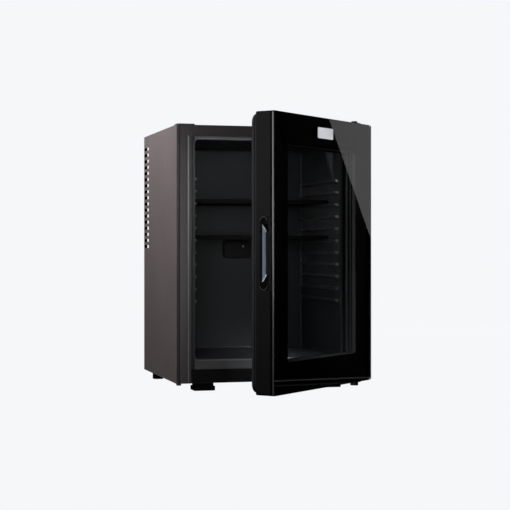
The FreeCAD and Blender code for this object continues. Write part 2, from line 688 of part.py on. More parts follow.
def front_frame():
    """Front face of the cabinet: a top bar between two posts, and a rounded ridge along each post."""
    body = add_body("front_frame", "cabinet", many=True)
    outside = "(cab_width / 2 - front_return - frame_gap)"
    face = add_sketch(body, "XZ", "0")
    box(face, f"-{outside}", "foot_height", "-flange_half", CAB_TOP)
    box(face, "flange_half", "foot_height", outside, CAB_TOP)
    box(face, "joint_gap - flange_half", "flange_top", "flange_half - joint_gap", CAB_TOP)
    pad(body, face, "frame_thick", back=True)
    ridges = add_sketch(body, "XZ", "0")
    near_side, far_side = "(flange_half + ridge_inset)", "(flange_half + ridge_inset + ridge_wide)"
    box(ridges, f"-{far_side}", "foot_height", f"-{near_side}", "flange_top")
    box(ridges, near_side, "foot_height", far_side, "flange_top")
    pad(body, ridges, "ridge_proud")
    round_edges(body, "ridge_round", in_plane("Y", "-ridge_proud"))


def plinth_panel():
    corners = ("-flange_half", FOAM_LOW, "flange_half", "flange_low")
    plate("plinth_panel", "cabinet", "XZ", "plinth_setback", corners, "plinth_thick", back=True)


def lamp():
    """Small rounded housing on the rear wall, and its lens."""
    body = add_body("lamp_housing", "cabinet")
    outline = add_sketch(body, "XZ", "liner_depth")
    top = "lamp_low + lamp_high"
    rounded_box(outline, "-lamp_wide / 2", "lamp_low", "lamp_wide / 2", top, "lamp_corner")
    pad(body, outline, "lamp_deep")
    round_edges(body, "lamp_edge", in_plane("Y", "liner_depth - lamp_deep"))
    lens = add_body("lamp_lens", "cabinet")
    disc = add_sketch(lens, "XZ", "liner_depth - lamp_deep")
    circle(disc, "lens_aside", "lamp_low + lamp_high * 2 / 3", "lens_radius")
    pad(lens, disc, "lens_proud")
    round_edges(lens, "lens_edge", in_plane("Y", "liner_depth - lamp_deep - lens_proud"))


# Feet


def front_foot(label, hand):
    """Wide moulded slab under a narrower block."""
    body = add_body(label, "cabinet")
    middle = f"{hand} * (cab_width / 2 - front_foot_aside)"
    slab = add_sketch(body, "XY", "0")
    half = "front_foot_wide / 2"
    front, rear = "foot_setback", "foot_setback + front_foot_deep"
    rounded_box(slab, f"{middle} - {half}", front, f"{middle} + {half}", rear, "foot_corner")
    pad(body, slab, "foot_slab")
    round_edges(body, "foot_edge", in_plane("Z", "0"))
    block = add_sketch(body, "XY", "foot_slab")
    rounded_box(
        block,
        f"{middle} - {half} + foot_step",
        f"{front} + foot_step",
        f"{middle} + {half} - foot_step",
        f"{rear} - foot_step",
        "foot_corner - foot_step / 2",
    )
    pad(body, block, "foot_height - foot_slab")


def rear_foot(label, hand):
    """Plain square glide with a rounded sole."""
    body = add_body(label, "cabinet")
    middle = f"{hand} * (cab_width / 2 - rear_foot_aside)"
    half = "rear_foot_wide / 2"
    sole = add_sketch(body, "XY", "0")
    front = f"{CHIMNEY_FRONT} - rear_foot_wide"
    rounded_box(sole, f"{middle} - {half}", front, f"{middle} + {half}", CHIMNEY_FRONT, "foot_corner")
    pad(body, sole, "foot_height")
    round_edges(body, "foot_edge", in_plane("Z", "0"))


# Hinges


def hinge_arm(body, level, thick, rear):
    """Flat arm round the hinge axis: a half-round end towards the front and straight sides."""
    arm = add_sketch(body, "XY", level)
    r, y = value("plate_half"), value(rear)
    circle_curve = Part.Circle(V(0, 0, 0), V(0, 0, 1), r)
    nose = arm.addGeometry(Part.ArcOfCircle(circle_curve, math.pi, 2 * math.pi))
    locate(arm, nose, 3, "0", "0")
    bind(arm, f"Constraints[{tie(arm, 'Radius', nose, r)}]", "plate_half")
    corners = [V(r, 0, 0), V(r, y, 0), V(-r, y, 0), V(-r, 0, 0)]
    lines = [arm.addGeometry(Part.LineSegment(a, b)) for a, b in zip(corners, corners[1:])]
    tie(arm, "Tangent", nose, 2, lines[0], 1)
    tie(arm, "Coincident", lines[0], 2, lines[1], 1)
    tie(arm, "Coincident", lines[1], 2, lines[2], 1)
    tie(arm, "Tangent", lines[2], 2, nose, 1)
    tie(arm, "Vertical", lines[0])
    tie(arm, "Horizontal", lines[1])
    locate(arm, lines[1], 1, up=rear)
    return pad(body, arm, thick)


def hinge_holes(body, level, depth):
    """Hole of the pin and of the two screws, cut downward from a level."""
    holes = add_sketch(body, "XY", level)
    circle(holes, "0", "0", "pin_radius")
    for along in ("screw_first", "screw_first + screw_pitch"):
        circle(holes, "0", f"hinge_forward + {along}", "screw_radius")
    pocket(body, holes, depth)


def top_hinge_plate():
    """Stepped steel plate: screwed to the cabinet top and raised over the door."""
    body = add_body("top_hinge_plate", "hinge")
    under = f"{DOOR_TOP} + plate_over_door"
    step = "hinge_forward + plate_setback"
    hinge_arm(body, under, "plate_thick", f"{step} + plate_thick")
    riser = add_sketch(body, "XY", CAB_TOP)
    box(riser, "-plate_half", step, "plate_half", f"{step} + plate_thick")
    pad(body, riser, f"{under} - {CAB_TOP}")
    foot = add_sketch(body, "XY", CAB_TOP)
    box(foot, "-plate_half", f"{step} + plate_thick", "plate_half", "hinge_forward + plate_reach")
    pad(body, foot, "plate_thick")
    hinge_holes(body, f"{under} + plate_thick", f"{under} + plate_thick - {CAB_TOP}")


def bottom_hinge_bracket():
    """Flat steel bracket under the base panel, reaching under the door."""
    body = add_body("bottom_hinge_bracket", "hinge")
    hinge_arm(body, "foot_height - plate_thick", "plate_thick", "hinge_forward + plate_reach")
    hinge_holes(body, "foot_height", "plate_thick")


def hinge_pins():
    """Headed pin down into the door top, and a pin up into the door bottom."""
    upper = add_body("top_hinge_pin", "hinge")
    seat = f"({DOOR_TOP} + plate_over_door + plate_thick)"
    tip = f"({DOOR_TOP} - pin_in_door)"
    turn(upper, [
        ("0", tip),
        ("pin_radius - pin_bevel", tip),
        ("pin_radius", f"{tip} + pin_bevel"),
        ("pin_radius", seat),
        ("pin_head", seat),
        ("pin_head", f"{seat} + pin_head_high - pin_bevel"),
        ("pin_head - pin_bevel", f"{seat} + pin_head_high"),
        ("0", f"{seat} + pin_head_high"),
    ])
    lower = add_body("bottom_hinge_pin", "hinge")
    low = "(foot_height - plate_thick - nut_high + pin_bevel)"
    high = f"({DOOR_LOW} + pin_in_door)"
    turn(lower, [
        ("0", low),
        ("pin_radius", low),
        ("pin_radius", f"{high} - pin_bevel"),
        ("pin_radius - pin_bevel", high),
        ("0", high),
    ])


def bottom_hinge_nut():
    """Hexagon nut under the lower bracket."""
    body = add_body("bottom_hinge_nut", "hinge")
    sketch = add_sketch(body, "XY", "foot_height - plate_thick - nut_high")
    corner = "nut_across / sqrt(3)"
    polygon(sketch, [(f"{corner} * cos({angle})", f"{corner} * sin({angle})") for angle in range(30, 390, 60)])
    circle(sketch, "0", "0", "pin_radius")
    pad(body, sketch, "nut_high")


def hinge_screws(label, level, up):
    """Two pan-head screws, with heads above or below the level they clamp."""
    body = add_body(label, "hinge", many=True)
    heads = add_sketch(body, "XY", level)
    circle(heads, "0", "hinge_forward + screw_first", "screw_head")
    head = pad(body, heads, "screw_head_high", back=not up)
    shanks = add_sketch(body, "XY", level)
    circle(shanks, "0", "hinge_forward + screw_first", "screw_radius")
    shank = pad(body, shanks, "plate_thick + sheet_thick", back=up)
    repeat(body, [head, shank], "Y", "screw_count", "screw_pitch")


def hinge_hole_covers():
    """Flat cover and plug over the holes for a door hung on the other side."""
    cover = add_body("upper_hinge_hole_cover", "cabinet")
    left = "-cab_width / 2 + cover_margin"
    outline = add_sketch(cover, "XY", CAB_TOP)
    rounded_box(outline, left, "cover_margin", f"{left} + cover_wide", "cover_deep", "cover_corner")
    pad(cover, outline, "cover_thick")
    round_edges(cover, "cover_edge", in_plane("Z", f"{CAB_TOP} + cover_thick"))
    plug = add_body("lower_hinge_hole_plug", "cabinet")
    sole = add_sketch(plug, "XY", "foot_height")
    rounded_box(sole, left, "frame_thick", f"{left} + plug_wide", "frame_thick + plug_wide", "cover_corner")
    pad(plug, sole, "plug_high", back=True)


# Door


def door_outline(sketch, inset, corner):
    """Rectangle parallel to the door's edges."""
    rounded_box(
        sketch,
        f"{DOOR_LEFT} + ({inset})",
        f"{DOOR_LOW} + ({inset})",
        f"hinge_inset - ({inset})",
        f"{DOOR_TOP} - ({inset})",
        corner,
    )


def gasket_ring(sketch, outer, inner):
    """Two rectangles that the gasket lies between, further in along the hinge edge."""
    for inset in (outer, inner):
        rounded_box(
            sketch,
            f"{DOOR_LEFT} + gasket_inset + ({inset})",
            f"{DOOR_LOW} + gasket_inset + ({inset})",
            f"hinge_inset - gasket_hinge_inset - ({inset})",
            f"{DOOR_TOP} - gasket_inset - ({inset})",
            f"gasket_corner + gasket_wide - ({inset})",
        )


def grip_outline(sketch, long, wide, corner, aside="0"):
    """Rounded rectangle on the handle edge, about the middle of the grip's opening or aside of it."""
    middle = f"({DOOR_REAR} - grip_from_rear + {aside})"
    rounded_box(
        sketch,
        f"{middle} - ({wide}) / 2",
        f"grip_middle - ({long}) / 2",
        f"{middle} + ({wide}) / 2",
        f"grip_middle + ({long}) / 2",
        corner,
    )


def door_frame():
    """Deep moulded frame: window, seat of the inner pane, gasket groove, grip pocket and bush seats."""
    body = add_body("door_frame", "door")
    outline = add_sketch(body, "XZ", FRAME_FRONT)
    door_outline(outline, "0", "door_corner")
    pad(body, outline, "door_frame_deep", back=True)
    seam = add_sketch(body, "XZ", FRAME_FRONT)
    door_outline(seam, "0", "door_corner")
    door_outline(seam, "seam_wide", "door_corner - seam_wide")
    pocket(body, seam, "seam_deep")
    window = add_sketch(body, "XZ", FRAME_FRONT)
    door_outline(window, "window_border", "window_corner")
    pocket(body, window, "door_frame_deep")
    seat = add_sketch(body, "XZ", DOOR_REAR)
    door_outline(seat, "window_border - rebate_wide", "window_corner")
    pocket(body, seat, "rebate_deep", back=True)
    round_edges(body, "door_rear_radius", upright_at(y=DOOR_REAR, x=DOOR_LEFT))
    groove = add_sketch(body, "XZ", DOOR_REAR)
    side = "(gasket_wide - gasket_dart) / 2"
    gasket_ring(groove, side, f"{side} + gasket_dart")
    pocket(body, groove, "gasket_dart", back=True)
    grip = add_sketch(body, "YZ", DOOR_LEFT)
    grip_outline(grip, "grip_long + 2 * grip_wall", "grip_wide + 2 * grip_wall", "grip_corner + grip_wall")
    pocket(body, grip, "grip_deep + grip_wall", back=True)
    for level, upward in ((DOOR_TOP, False), (DOOR_LOW, True)):
        bush_seat = add_sketch(body, "XY", level)
        circle(bush_seat, "0", "0", "pin_radius + pin_play + bush_wall")
        pocket(body, bush_seat, "bush_long", back=upward)


def front_glass():
    """Front pane as large as the door, with a polished bevel."""
    body = add_body("front_glass", "door")
    outline = add_sketch(body, "XZ", FRAME_FRONT)
    door_outline(outline, "0", "door_corner")
    pad(body, outline, "front_glass_thick")
    face = f"{FRAME_FRONT} - front_glass_thick"
    round_edges(body, "glass_bevel", in_plane("Y", face), kind="Chamfer")


def inner_pane_and_bead():
    """Inner pane in its seat and the bead that holds it."""
    front = f"{DOOR_REAR} - rebate_deep"
    edge = "window_border - rebate_wide + pane_play"
    pane = add_body("inner_glass", "door")
    outline = add_sketch(pane, "XZ", front)
    door_outline(outline, edge, "window_corner")
    pad(pane, outline, "inner_glass_thick", back=True)
    bead = add_body("glazing_bead", "door")
    ring = add_sketch(bead, "XZ", f"{front} + inner_glass_thick")
    door_outline(ring, edge, "window_corner")
    door_outline(ring, "window_border + bead_lap", "window_corner")
    pad(bead, ring, "rebate_deep - inner_glass_thick", back=True)


def door_gasket():
    """Soft seal: dart in the groove, flat base, narrow neck and the bulb with the magnet channel."""
    body = add_body("door_gasket", "door")
    half = "gasket_wide / 2"
    steps = (
        ("gasket_dart / 2 - soft_play", "-gasket_dart + soft_play", "gasket_dart - soft_play"),
        (half, "0", "gasket_base"),
        ("gasket_wide / 4", "gasket_base", "gasket_neck"),
        ("gasket_bulb_wide / 2", "gasket_base + gasket_neck", "gasket_bulb"),
    )
    for reach, start, high in steps:
        ring = add_sketch(body, "XZ", f"{DOOR_REAR} + {start}")
        gasket_ring(ring, f"{half} - ({reach})", f"{half} + ({reach})")
        pad(body, ring, high, back=True)
    face = f"{DOOR_REAR} + gasket_base + gasket_neck + gasket_bulb"
    channel = add_sketch(body, "XZ", face)
    reach = "(magnet_wide / 2 + soft_play)"
    gasket_ring(channel, f"{half} - {reach}", f"{half} + {reach}")
    pocket(body, channel, "magnet_thick + 2 * soft_play", back=True)


def gasket_magnets():
    """Four magnet strips in the channel of the gasket."""
    body = add_body("gasket_magnets", "door", many=True)
    face = f"{DOOR_REAR} + gasket_base + gasket_neck + gasket_bulb - soft_play"
    strips = add_sketch(body, "XZ", face)
    near_side = "(gasket_inset + gasket_wide / 2 - magnet_wide / 2)"
    far_side = "(gasket_inset + gasket_wide / 2 + magnet_wide / 2)"
    hinge_shift = "(gasket_hinge_inset - gasket_inset)"
    corner = "(gasket_inset + gasket_corner + gasket_wide)"
    left, right = DOOR_LEFT, f"(hinge_inset - {hinge_shift})"
    low, top = DOOR_LOW, DOOR_TOP
    box(strips, f"{left} + {near_side}", f"{low} + {corner}", f"{left} + {far_side}", f"{top} - {corner}")
    box(strips, f"{right} - {far_side}", f"{low} + {corner}", f"{right} - {near_side}", f"{top} - {corner}")
    box(strips, f"{left} + {corner}", f"{low} + {near_side}", f"{right} - {corner}", f"{low} + {far_side}")
    box(strips, f"{left} + {corner}", f"{top} - {far_side}", f"{right} - {corner}", f"{top} - {near_side}")
    pad(body, strips, "magnet_thick")


def handle_cup():
    """Finger-grip cup in the handle edge: a flat bezel round a recess whose walls slope to its floor."""
    body = add_body("handle_cup", "door")
    bezel = add_sketch(body, "YZ", DOOR_LEFT)
    grip_outline(bezel, "bezel_long", "bezel_wide", "bezel_corner", "bezel_shift")
    pad(body, bezel, "bezel_thick", back=True)
    face = f"{DOOR_LEFT} - bezel_thick"
    round_edges(body, "bezel_edge", in_plane("X", face))
    wall = "2 * (grip_wall - soft_play)"
    cup = add_sketch(body, "YZ", DOOR_LEFT)
    grip_outline(cup, f"grip_long + {wall}", f"grip_wide + {wall}", "grip_corner + grip_wall")
    pad(body, cup, "grip_deep + grip_wall - soft_play")
    mouth = add_sketch(body, "YZ", face)
    grip_outline(mouth, "grip_long", "grip_wide", "grip_corner")
    floor = add_sketch(body, "YZ", f"{DOOR_LEFT} + grip_deep")
    grip_outline(floor, "grip_floor_long", "grip_floor_wide", "grip_corner")
    sink(body, mouth, floor)


def hinge_bush(label, level, upward):
    """Flanged plastic bush for a hinge pin, set into the door's edge."""
    body = add_body(label, "door")
    bore = "pin_radius + pin_play"
    sleeve = add_sketch(body, "XY", level)
    circle(sleeve, "0", "0", f"{bore} + bush_wall")
    circle(sleeve, "0", "0", bore)
    pad(body, sleeve, "bush_long", back=not upward)
    flange = add_sketch(body, "XY", level)
    circle(flange, "0", "0", f"{bore} + 2 * bush_wall")
    circle(flange, "0", "0", bore)
    pad(body, flange, "bush_flange", back=upward)


# Cooling unit in the chimney


def run_and_bends(path, runs):
    """Straight runs joined by tangent arcs; each run is a pair of points given by formulas."""
    lines = []
    for begin, end in runs:
        points = [V(value(x), value(y), 0) for x, y in (begin, end)]
        lines.append(path.addGeometry(Part.LineSegment(*points)))
        locate(path, lines[-1], 1, *begin)
        locate(path, lines[-1], 2, *end)
    for first, second in zip(lines, lines[1:]):
        a, b = path.getPoint(first, 2), path.getPoint(second, 1)
        heading = a - path.getPoint(first, 1)
        arc = path.addGeometry(Part.ArcOfCircle(*bend(a, heading, b)))
        forward = (path.getPoint(arc, 1) - a).Length < 1e-6
        tie(path, "Tangent", first, 2, arc, 1 if forward else 2)
        tie(path, "Coincident", arc, 2 if forward else 1, second, 1)
    doc.recompute()


def bend(a, heading, b):
    """The arc that leaves a along the heading and ends at b."""
    heading.normalize()
    side = V(-heading.y, heading.x, 0)
    chord = b - a
    radius = chord.dot(chord) / (2 * chord.dot(side))
    centre = a + side * radius
    from_a, from_b = a - centre, b - centre
    start, stop = math.atan2(from_a.y, from_a.x), math.atan2(from_b.y, from_b.x)
    if radius < 0:
        start, stop = stop, start
    if stop <= start:
        stop += 2 * math.pi
    return Part.Circle(centre, V(0, 0, 1), abs(radius)), start, stop


def tube(label, plane, level, runs):
    """A round tube that follows runs and bends in one plane."""
    body = add_body(label, "cabinet")
    path = add_sketch(body, plane, level)
    run_and_bends(path, runs)
    section = body.newObject("Sketcher::SketchObject", f"{label}_section")
    section.AttachmentSupport = (path, ["Edge1"])
    section.MapMode = "NormalToEdge"
    circle(section, "0", "0", "tube_radius")
    doc.recompute()
    feature = body.newObject("PartDesign::AdditivePipe", f"{label}_sweep")
    feature.Profile = section
    feature.Spine = (path, [f"Edge{i}" for i in range(1, len(path.Shape.Edges) + 1)])
    doc.recompute()
    length = sum(edge.Length for edge in path.Shape.Edges)
    expected = math.pi * value("tube_radius") ** 2 * length
    if abs(body.Shape.Volume / expected - 1) > 0.01:
        raise RuntimeError(f"{label} doesn't follow its path")


def absorber_coil():
    """Tube that leaves the vessel, winds back and forth above it and rises to the return tube."""
    riser = "coil_left - coil_bend"
    runs = [[(riser, "vessel_middle + vessel_radius"), (riser, "coil_low - coil_bend")]]
    for i in range(int(value("coil_runs"))):
        level = f"coil_low + {i} * coil_pitch"
        ends = [("coil_left", level), ("coil_right", level)]
        runs.append(ends[::-1] if i % 2 else ends)
    last = f"{level} + coil_bend"
    runs.append([(riser, last), (riser, "return_low")])
    tube("absorber_coil", "XZ", "unit_middle", runs)


def condenser_tube():
    """Tube that rises from the boiler, bends over and returns below itself through the fins."""
    upper = "condenser_low + condenser_pitch"
    tube("condenser_tube", "XZ", "unit_middle", [
        [("boiler_aside", "boiler_top"), ("boiler_aside", f"{upper} - condenser_bend")],
        [("boiler_aside - condenser_bend", upper), ("condenser_left", upper)],
        [("condenser_left", "condenser_low"), ("condenser_right", "condenser_low")],
    ])


def evaporator():
    """Cold plate against the liner's rear wall, and the tubes that feed it and leave it."""
    body = add_body("evaporator_plate", "cabinet")
    outline = add_sketch(body, "XZ", "liner_depth + liner_wall")
    evaporator_outline(outline)
    pad(body, outline, "evaporator_thick", back=True)
    plate_rear = "liner_depth + liner_wall + evaporator_thick"
    tube("evaporator_feed_tube", "XY", "condenser_low", [
        [("condenser_right", "unit_middle"), (f"{FEED_ASIDE} - return_bend", "unit_middle")],
        [(FEED_ASIDE, "unit_middle - return_bend"), (FEED_ASIDE, plate_rear)],
    ])
    tube("evaporator_return_tube", "YZ", RETURN_ASIDE, [
        [("unit_middle", "return_low"), ("unit_middle", "return_top - return_bend")],
        [("unit_middle - return_bend", "return_top"), (plate_rear, "return_top")],
    ])


def heat_exchanger_tube():
    """Straight tube from the absorber vessel to the boiler."""
    tube("heat_exchanger_tube", "XZ", "unit_middle", [
        [("vessel_aside + vessel_long / 2", "vessel_middle"), ("boiler_aside - boiler_radius", "vessel_middle")],
    ])


def condenser_fins():
    """Row of sheet fins on the two condenser runs."""
    body = add_body("condenser_fins", "cabinet", many=True)
    sketch = add_sketch(body, "YZ", "fin_first")
    middle_up = "(condenser_low + condenser_pitch / 2)"
    box(
        sketch,
        "unit_middle - fin_deep / 2",
        f"{middle_up} - fin_high / 2",
        "unit_middle + fin_deep / 2",
        f"{middle_up} + fin_high / 2",
    )
    for up in ("condenser_low", "condenser_low + condenser_pitch"):
        circle(sketch, "unit_middle", up, "tube_radius")
    fin = pad(body, sketch, "fin_thick")
    repeat(body, [fin], "X", "fin_count", "fin_pitch")


def boiler_casing():
    """Insulated jacket of the boiler."""
    body = add_body("boiler_casing", "cabinet")
    sketch = add_sketch(body, "XY", BAR_SEAT)
    circle(sketch, "boiler_aside", "unit_middle", "boiler_radius")
    pad(body, sketch, f"boiler_top - {BAR_SEAT}")
    round_edges(body, "boiler_edge", in_plane("Z", BAR_SEAT))
    round_edges(body, "boiler_edge", in_plane("Z", "boiler_top"))


def absorber_vessel():
    """Lying tank with domed ends."""
    body = add_body("absorber_vessel", "cabinet")
    sketch = add_sketch(body, "YZ", "vessel_aside - vessel_long / 2")
    circle(sketch, "unit_middle", "vessel_middle", "vessel_radius")
    pad(body, sketch, "vessel_long")
    round_edges(body, "vessel_dome", in_plane("X", "vessel_aside - vessel_long / 2"))
    round_edges(body, "vessel_dome", in_plane("X", "vessel_aside + vessel_long / 2"))


def vessel_saddles():
    """Two blocks on the cross bar with a round seat for the vessel."""
    body = add_body("vessel_saddles", "cabinet", many=True)
    first = "vessel_aside - saddle_pitch / 2 - saddle_wide / 2"
    rear = "(cab_depth - sheet_thick - strap_thick)"
    block = add_sketch(body, "YZ", first)
    box(block, f"{rear} - saddle_deep", BAR_SEAT, rear, "saddle_top")
    solid = pad(body, block, "saddle_wide")
    seat = add_sketch(body, "YZ", first)
    circle(seat, "unit_middle", "vessel_middle", "vessel_radius")
    cut = pocket(body, seat, "saddle_wide", back=True)
    repeat(body, [solid, cut], "X", "saddle_count", "saddle_pitch")


def unit_straps():
    """Flat straps that hold the cooling unit: on the back plate behind the fins, and between the side panels."""
    fin_last = "fin_first + (fin_count - 1) * fin_pitch + fin_thick"
    upper = ("fin_first", "upper_strap", fin_last, "upper_strap + strap_high")
    fin_gap = f"unit_middle - fin_deep / 2 - {CHIMNEY_FRONT}"
    plate("upper_unit_strap", "cabinet", "XZ", CHIMNEY_FRONT, upper, fin_gap, back=True)
    lower = (f"-{BAR_HALF}", "lower_strap", BAR_HALF, "lower_strap + strap_high")
    rear = "cab_depth - sheet_thick - strap_thick"
    plate("lower_unit_strap", "cabinet", "XZ", rear, lower, "strap_thick", back=True)


def electrical_box():
    """Wiring box of the heater, with a blank gland where the supply enters."""
    body = add_body("electrical_box", "cabinet")
    outline = add_sketch(body, "XZ", CHIMNEY_FRONT)
    right, top = "box_left + box_wide", "box_low + box_high"
    rounded_box(outline, "box_left", "box_low", right, top, "box_corner")
    pad(body, outline, "box_deep", back=True)
    round_edges(body, "box_corner / 2", in_plane("Y", f"{CHIMNEY_FRONT} + box_deep"))
    gland = add_body("cord_gland", "cabinet")
    ring = add_sketch(gland, "XY", "box_low")
    place = ("box_left + box_wide / 2", f"{CHIMNEY_FRONT} + box_deep / 2")
    circle(ring, *place, "gland_radius")
    pad(gland, ring, "gland_long", back=True)
    round_edges(gland, "box_corner / 2", in_plane("Z", "box_low - gland_long"))


def build():
    """Make every piece."""
    side_panel("left_side_panel", -1)
    side_panel("right_side_panel", 1)
    top_panel()
    top_hinge_rail()
    base_panel()
    back_plate()
    rear_cross_bar()
    foam_insulation()
    inner_liner()
    shelf_ribs("left_shelf_ribs", -1)
    shelf_ribs("right_shelf_ribs", 1)
    front_frame()
    plinth_panel()
    lamp()
    shelf("upper_shelf", "upper_shelf_rib")
    shelf("lower_shelf", "lower_shelf_rib")
    front_foot("front_left_foot", -1)
    front_foot("front_right_foot", 1)
    rear_foot("rear_left_foot", -1)
    rear_foot("rear_right_foot", 1)
    top_hinge_plate()
    bottom_hinge_bracket()
    hinge_pins()
    bottom_hinge_nut()
    hinge_screws("top_hinge_screws", f"{CAB_TOP} + plate_thick", up=True)
    hinge_screws("bottom_hinge_screws", "foot_height - plate_thick", up=False)
    hinge_hole_covers()
    door_frame()
    front_glass()
    inner_pane_and_bead()
    door_gasket()
    gasket_magnets()
    handle_cup()
    hinge_bush("top_hinge_bush", DOOR_TOP, upward=False)
    hinge_bush("bottom_hinge_bush", DOOR_LOW, upward=True)
    boiler_casing()
    absorber_vessel()
    vessel_saddles()
    absorber_coil()
    heat_exchanger_tube()
    condenser_tube()
    condenser_fins()
    evaporator()
    unit_straps()
    electrical_box()


def write():
    """Check every object and write each sub-part to its own file."""
    doc.recompute()
    for item in doc.Objects:
        if {"Invalid", "Error"} & set(item.State):
            raise RuntimeError(f"{item.Label}: {item.State}")
    for node in nodes:
        if node.Shape.isNull() or not node.Shape.isValid():
            raise RuntimeError(f"{node.Label} has no valid shape")
    os.makedirs("parts", exist_ok=True)
    for node in nodes:
        node.Shape.exportStep(f"parts/{node.Label}.step")


build()
write()
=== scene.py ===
import json
import math

import bmesh
import bpy
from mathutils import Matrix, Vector


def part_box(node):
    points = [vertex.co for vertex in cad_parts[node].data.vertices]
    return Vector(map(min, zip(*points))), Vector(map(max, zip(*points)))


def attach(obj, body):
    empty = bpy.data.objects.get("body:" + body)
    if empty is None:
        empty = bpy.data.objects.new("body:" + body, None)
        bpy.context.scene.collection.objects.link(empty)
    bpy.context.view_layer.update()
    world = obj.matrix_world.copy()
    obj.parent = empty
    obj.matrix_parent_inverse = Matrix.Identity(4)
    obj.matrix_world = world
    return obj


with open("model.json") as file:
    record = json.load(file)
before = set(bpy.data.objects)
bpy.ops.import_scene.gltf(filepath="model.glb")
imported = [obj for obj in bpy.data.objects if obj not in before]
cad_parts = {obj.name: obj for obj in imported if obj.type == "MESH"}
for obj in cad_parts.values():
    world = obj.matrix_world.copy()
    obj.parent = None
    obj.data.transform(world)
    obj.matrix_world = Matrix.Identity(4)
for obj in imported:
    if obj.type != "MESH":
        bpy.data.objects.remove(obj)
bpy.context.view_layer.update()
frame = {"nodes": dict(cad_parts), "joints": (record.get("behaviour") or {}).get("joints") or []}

MM = 0.001
X_AXIS, Z_AXIS = 0, 2

# Places read from the frame

DOOR_JOINT = frame["joints"][0]
HINGE = Vector(DOOR_JOINT["pos_m"])
OPEN_ANGLE = math.radians(-DOOR_JOINT["range_deg"][0])
# Directions of the open door: across towards the hinge, and from its glass face towards its rear.
DOOR_ACROSS = Vector((math.cos(OPEN_ANGLE), math.sin(OPEN_ANGLE), 0))
DOOR_BACK = Vector((-math.sin(OPEN_ANGLE), math.cos(OPEN_ANGLE), 0))


def along_door(node, direction):
    """Least and greatest reach of a node along a direction, measured from the hinge axis."""
    reaches = [(v.co - HINGE).dot(direction) for v in frame["nodes"][node].data.vertices]
    return min(reaches), max(reaches)


GLASS_LEFT, GLASS_RIGHT = along_door("front_glass", DOOR_ACROSS)
GLASS_FRONT, GLASS_REAR = along_door("front_glass", DOOR_BACK)
GLASS_LOW, GLASS_TOP = (corner.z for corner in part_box("front_glass"))
GLASS_MIDDLE = (GLASS_LEFT + GLASS_RIGHT) / 2


def door_point(across, back, height):
    """A point given from the hinge axis along the door, behind it, and above the floor."""
    flat = HINGE + DOOR_ACROSS * across + DOOR_BACK * back
    return Vector((flat.x, flat.y, height))


# Camera, and the rays that it sends out

CAMERA_PLACE = Vector((-0.806, -3.035, 0.303))
CAMERA_YAW = math.radians(15.2)
CAMERA_AHEAD = Vector((math.sin(CAMERA_YAW), math.cos(CAMERA_YAW), 0))
CAMERA_RIGHT = Vector((math.cos(CAMERA_YAW), -math.sin(CAMERA_YAW), 0))
UP = Vector((0, 0, 1))
FOCAL_PIXELS, FRAME_PIXELS, HORIZON_PIXEL = 1400, 510, 246
SENSOR = 36


def add_camera():
    """Level camera at the photograph's place, with the shift that its framing needs."""
    data = bpy.data.cameras.new("camera")
    data.sensor_width = SENSOR
    data.lens = SENSOR * FOCAL_PIXELS / FRAME_PIXELS
    data.shift_y = (HORIZON_PIXEL - FRAME_PIXELS / 2) / FRAME_PIXELS
    camera = bpy.data.objects.new("camera", data)
    camera.location = CAMERA_PLACE
    camera.rotation_euler = (math.pi / 2, 0, -CAMERA_YAW)
    bpy.context.scene.collection.objects.link(camera)
    bpy.context.scene.camera = camera


def mirrored_point(pixel, axis, level):
    """Where the ray through a pixel, mirrored by the front glass, reaches a level along an axis."""
    across, down = pixel
    ray = CAMERA_AHEAD
    ray = ray + CAMERA_RIGHT * ((across - FRAME_PIXELS / 2) / FOCAL_PIXELS)
    ray = ray + UP * ((HORIZON_PIXEL - down) / FOCAL_PIXELS)
    on_glass = door_point(GLASS_MIDDLE, GLASS_FRONT, 0)
    reach = (on_glass - CAMERA_PLACE).dot(DOOR_BACK) / ray.dot(DOOR_BACK)
    start = CAMERA_PLACE + ray * reach
    mirrored = ray - 2 * ray.dot(DOOR_BACK) * DOOR_BACK
    return start + mirrored * ((level - start[axis]) / mirrored[axis])


# Node helpers


def new_material(name):
    """A material with its shader, a function that adds nodes to it and one that feeds the shader."""
    material = bpy.data.materials.new(name)
    material.use_nodes = True
    tree = material.node_tree
    shader = tree.nodes["Principled BSDF"]

    def add(kind, inputs=None, **settings):
        node = tree.nodes.new(kind)
        for key, setting in settings.items():
            setattr(node, key, setting)
        for key, source in (inputs or {}).items():
            if isinstance(source, bpy.types.NodeSocket):
                tree.links.new(source, node.inputs[key])
            else:
                node.inputs[key].default_value = source
        return node

    def feed(socket, source):
        tree.links.new(source, shader.inputs[socket])

    return material, shader, add, feed


def show(material, source):
    """Let a material show another shader than its first one."""
    tree = material.node_tree
    tree.links.new(source, tree.nodes["Material Output"].inputs["Surface"])


def set_values(shader, **values):
    """Constant sockets of a shader, named with underscores for spaces."""
    for name, number in values.items():
        shader.inputs[name.replace("_", " ")].default_value = number


def object_place(add):
    """Place of a point in the object's own metres."""
    return add("ShaderNodeTexCoord").outputs["Object"]


def noise(add, scale, detail=3.0, roughness=0.55, stretch=(1, 1, 1)):
    """Noise in the object's own metres, stretched along axes where asked."""
    mapped = add("ShaderNodeMapping", {"Vector": object_place(add), "Scale": stretch})
    inputs = {"Vector": mapped.outputs[0], "Scale": scale, "Detail": detail, "Roughness": roughness}
    return add("ShaderNodeTexNoise", inputs).outputs["Fac"]


def cells(add, scale):
    """Outputs of a cell pattern, such as a random colour for each cell."""
    return add("ShaderNodeTexVoronoi", {"Vector": object_place(add), "Scale": scale}).outputs


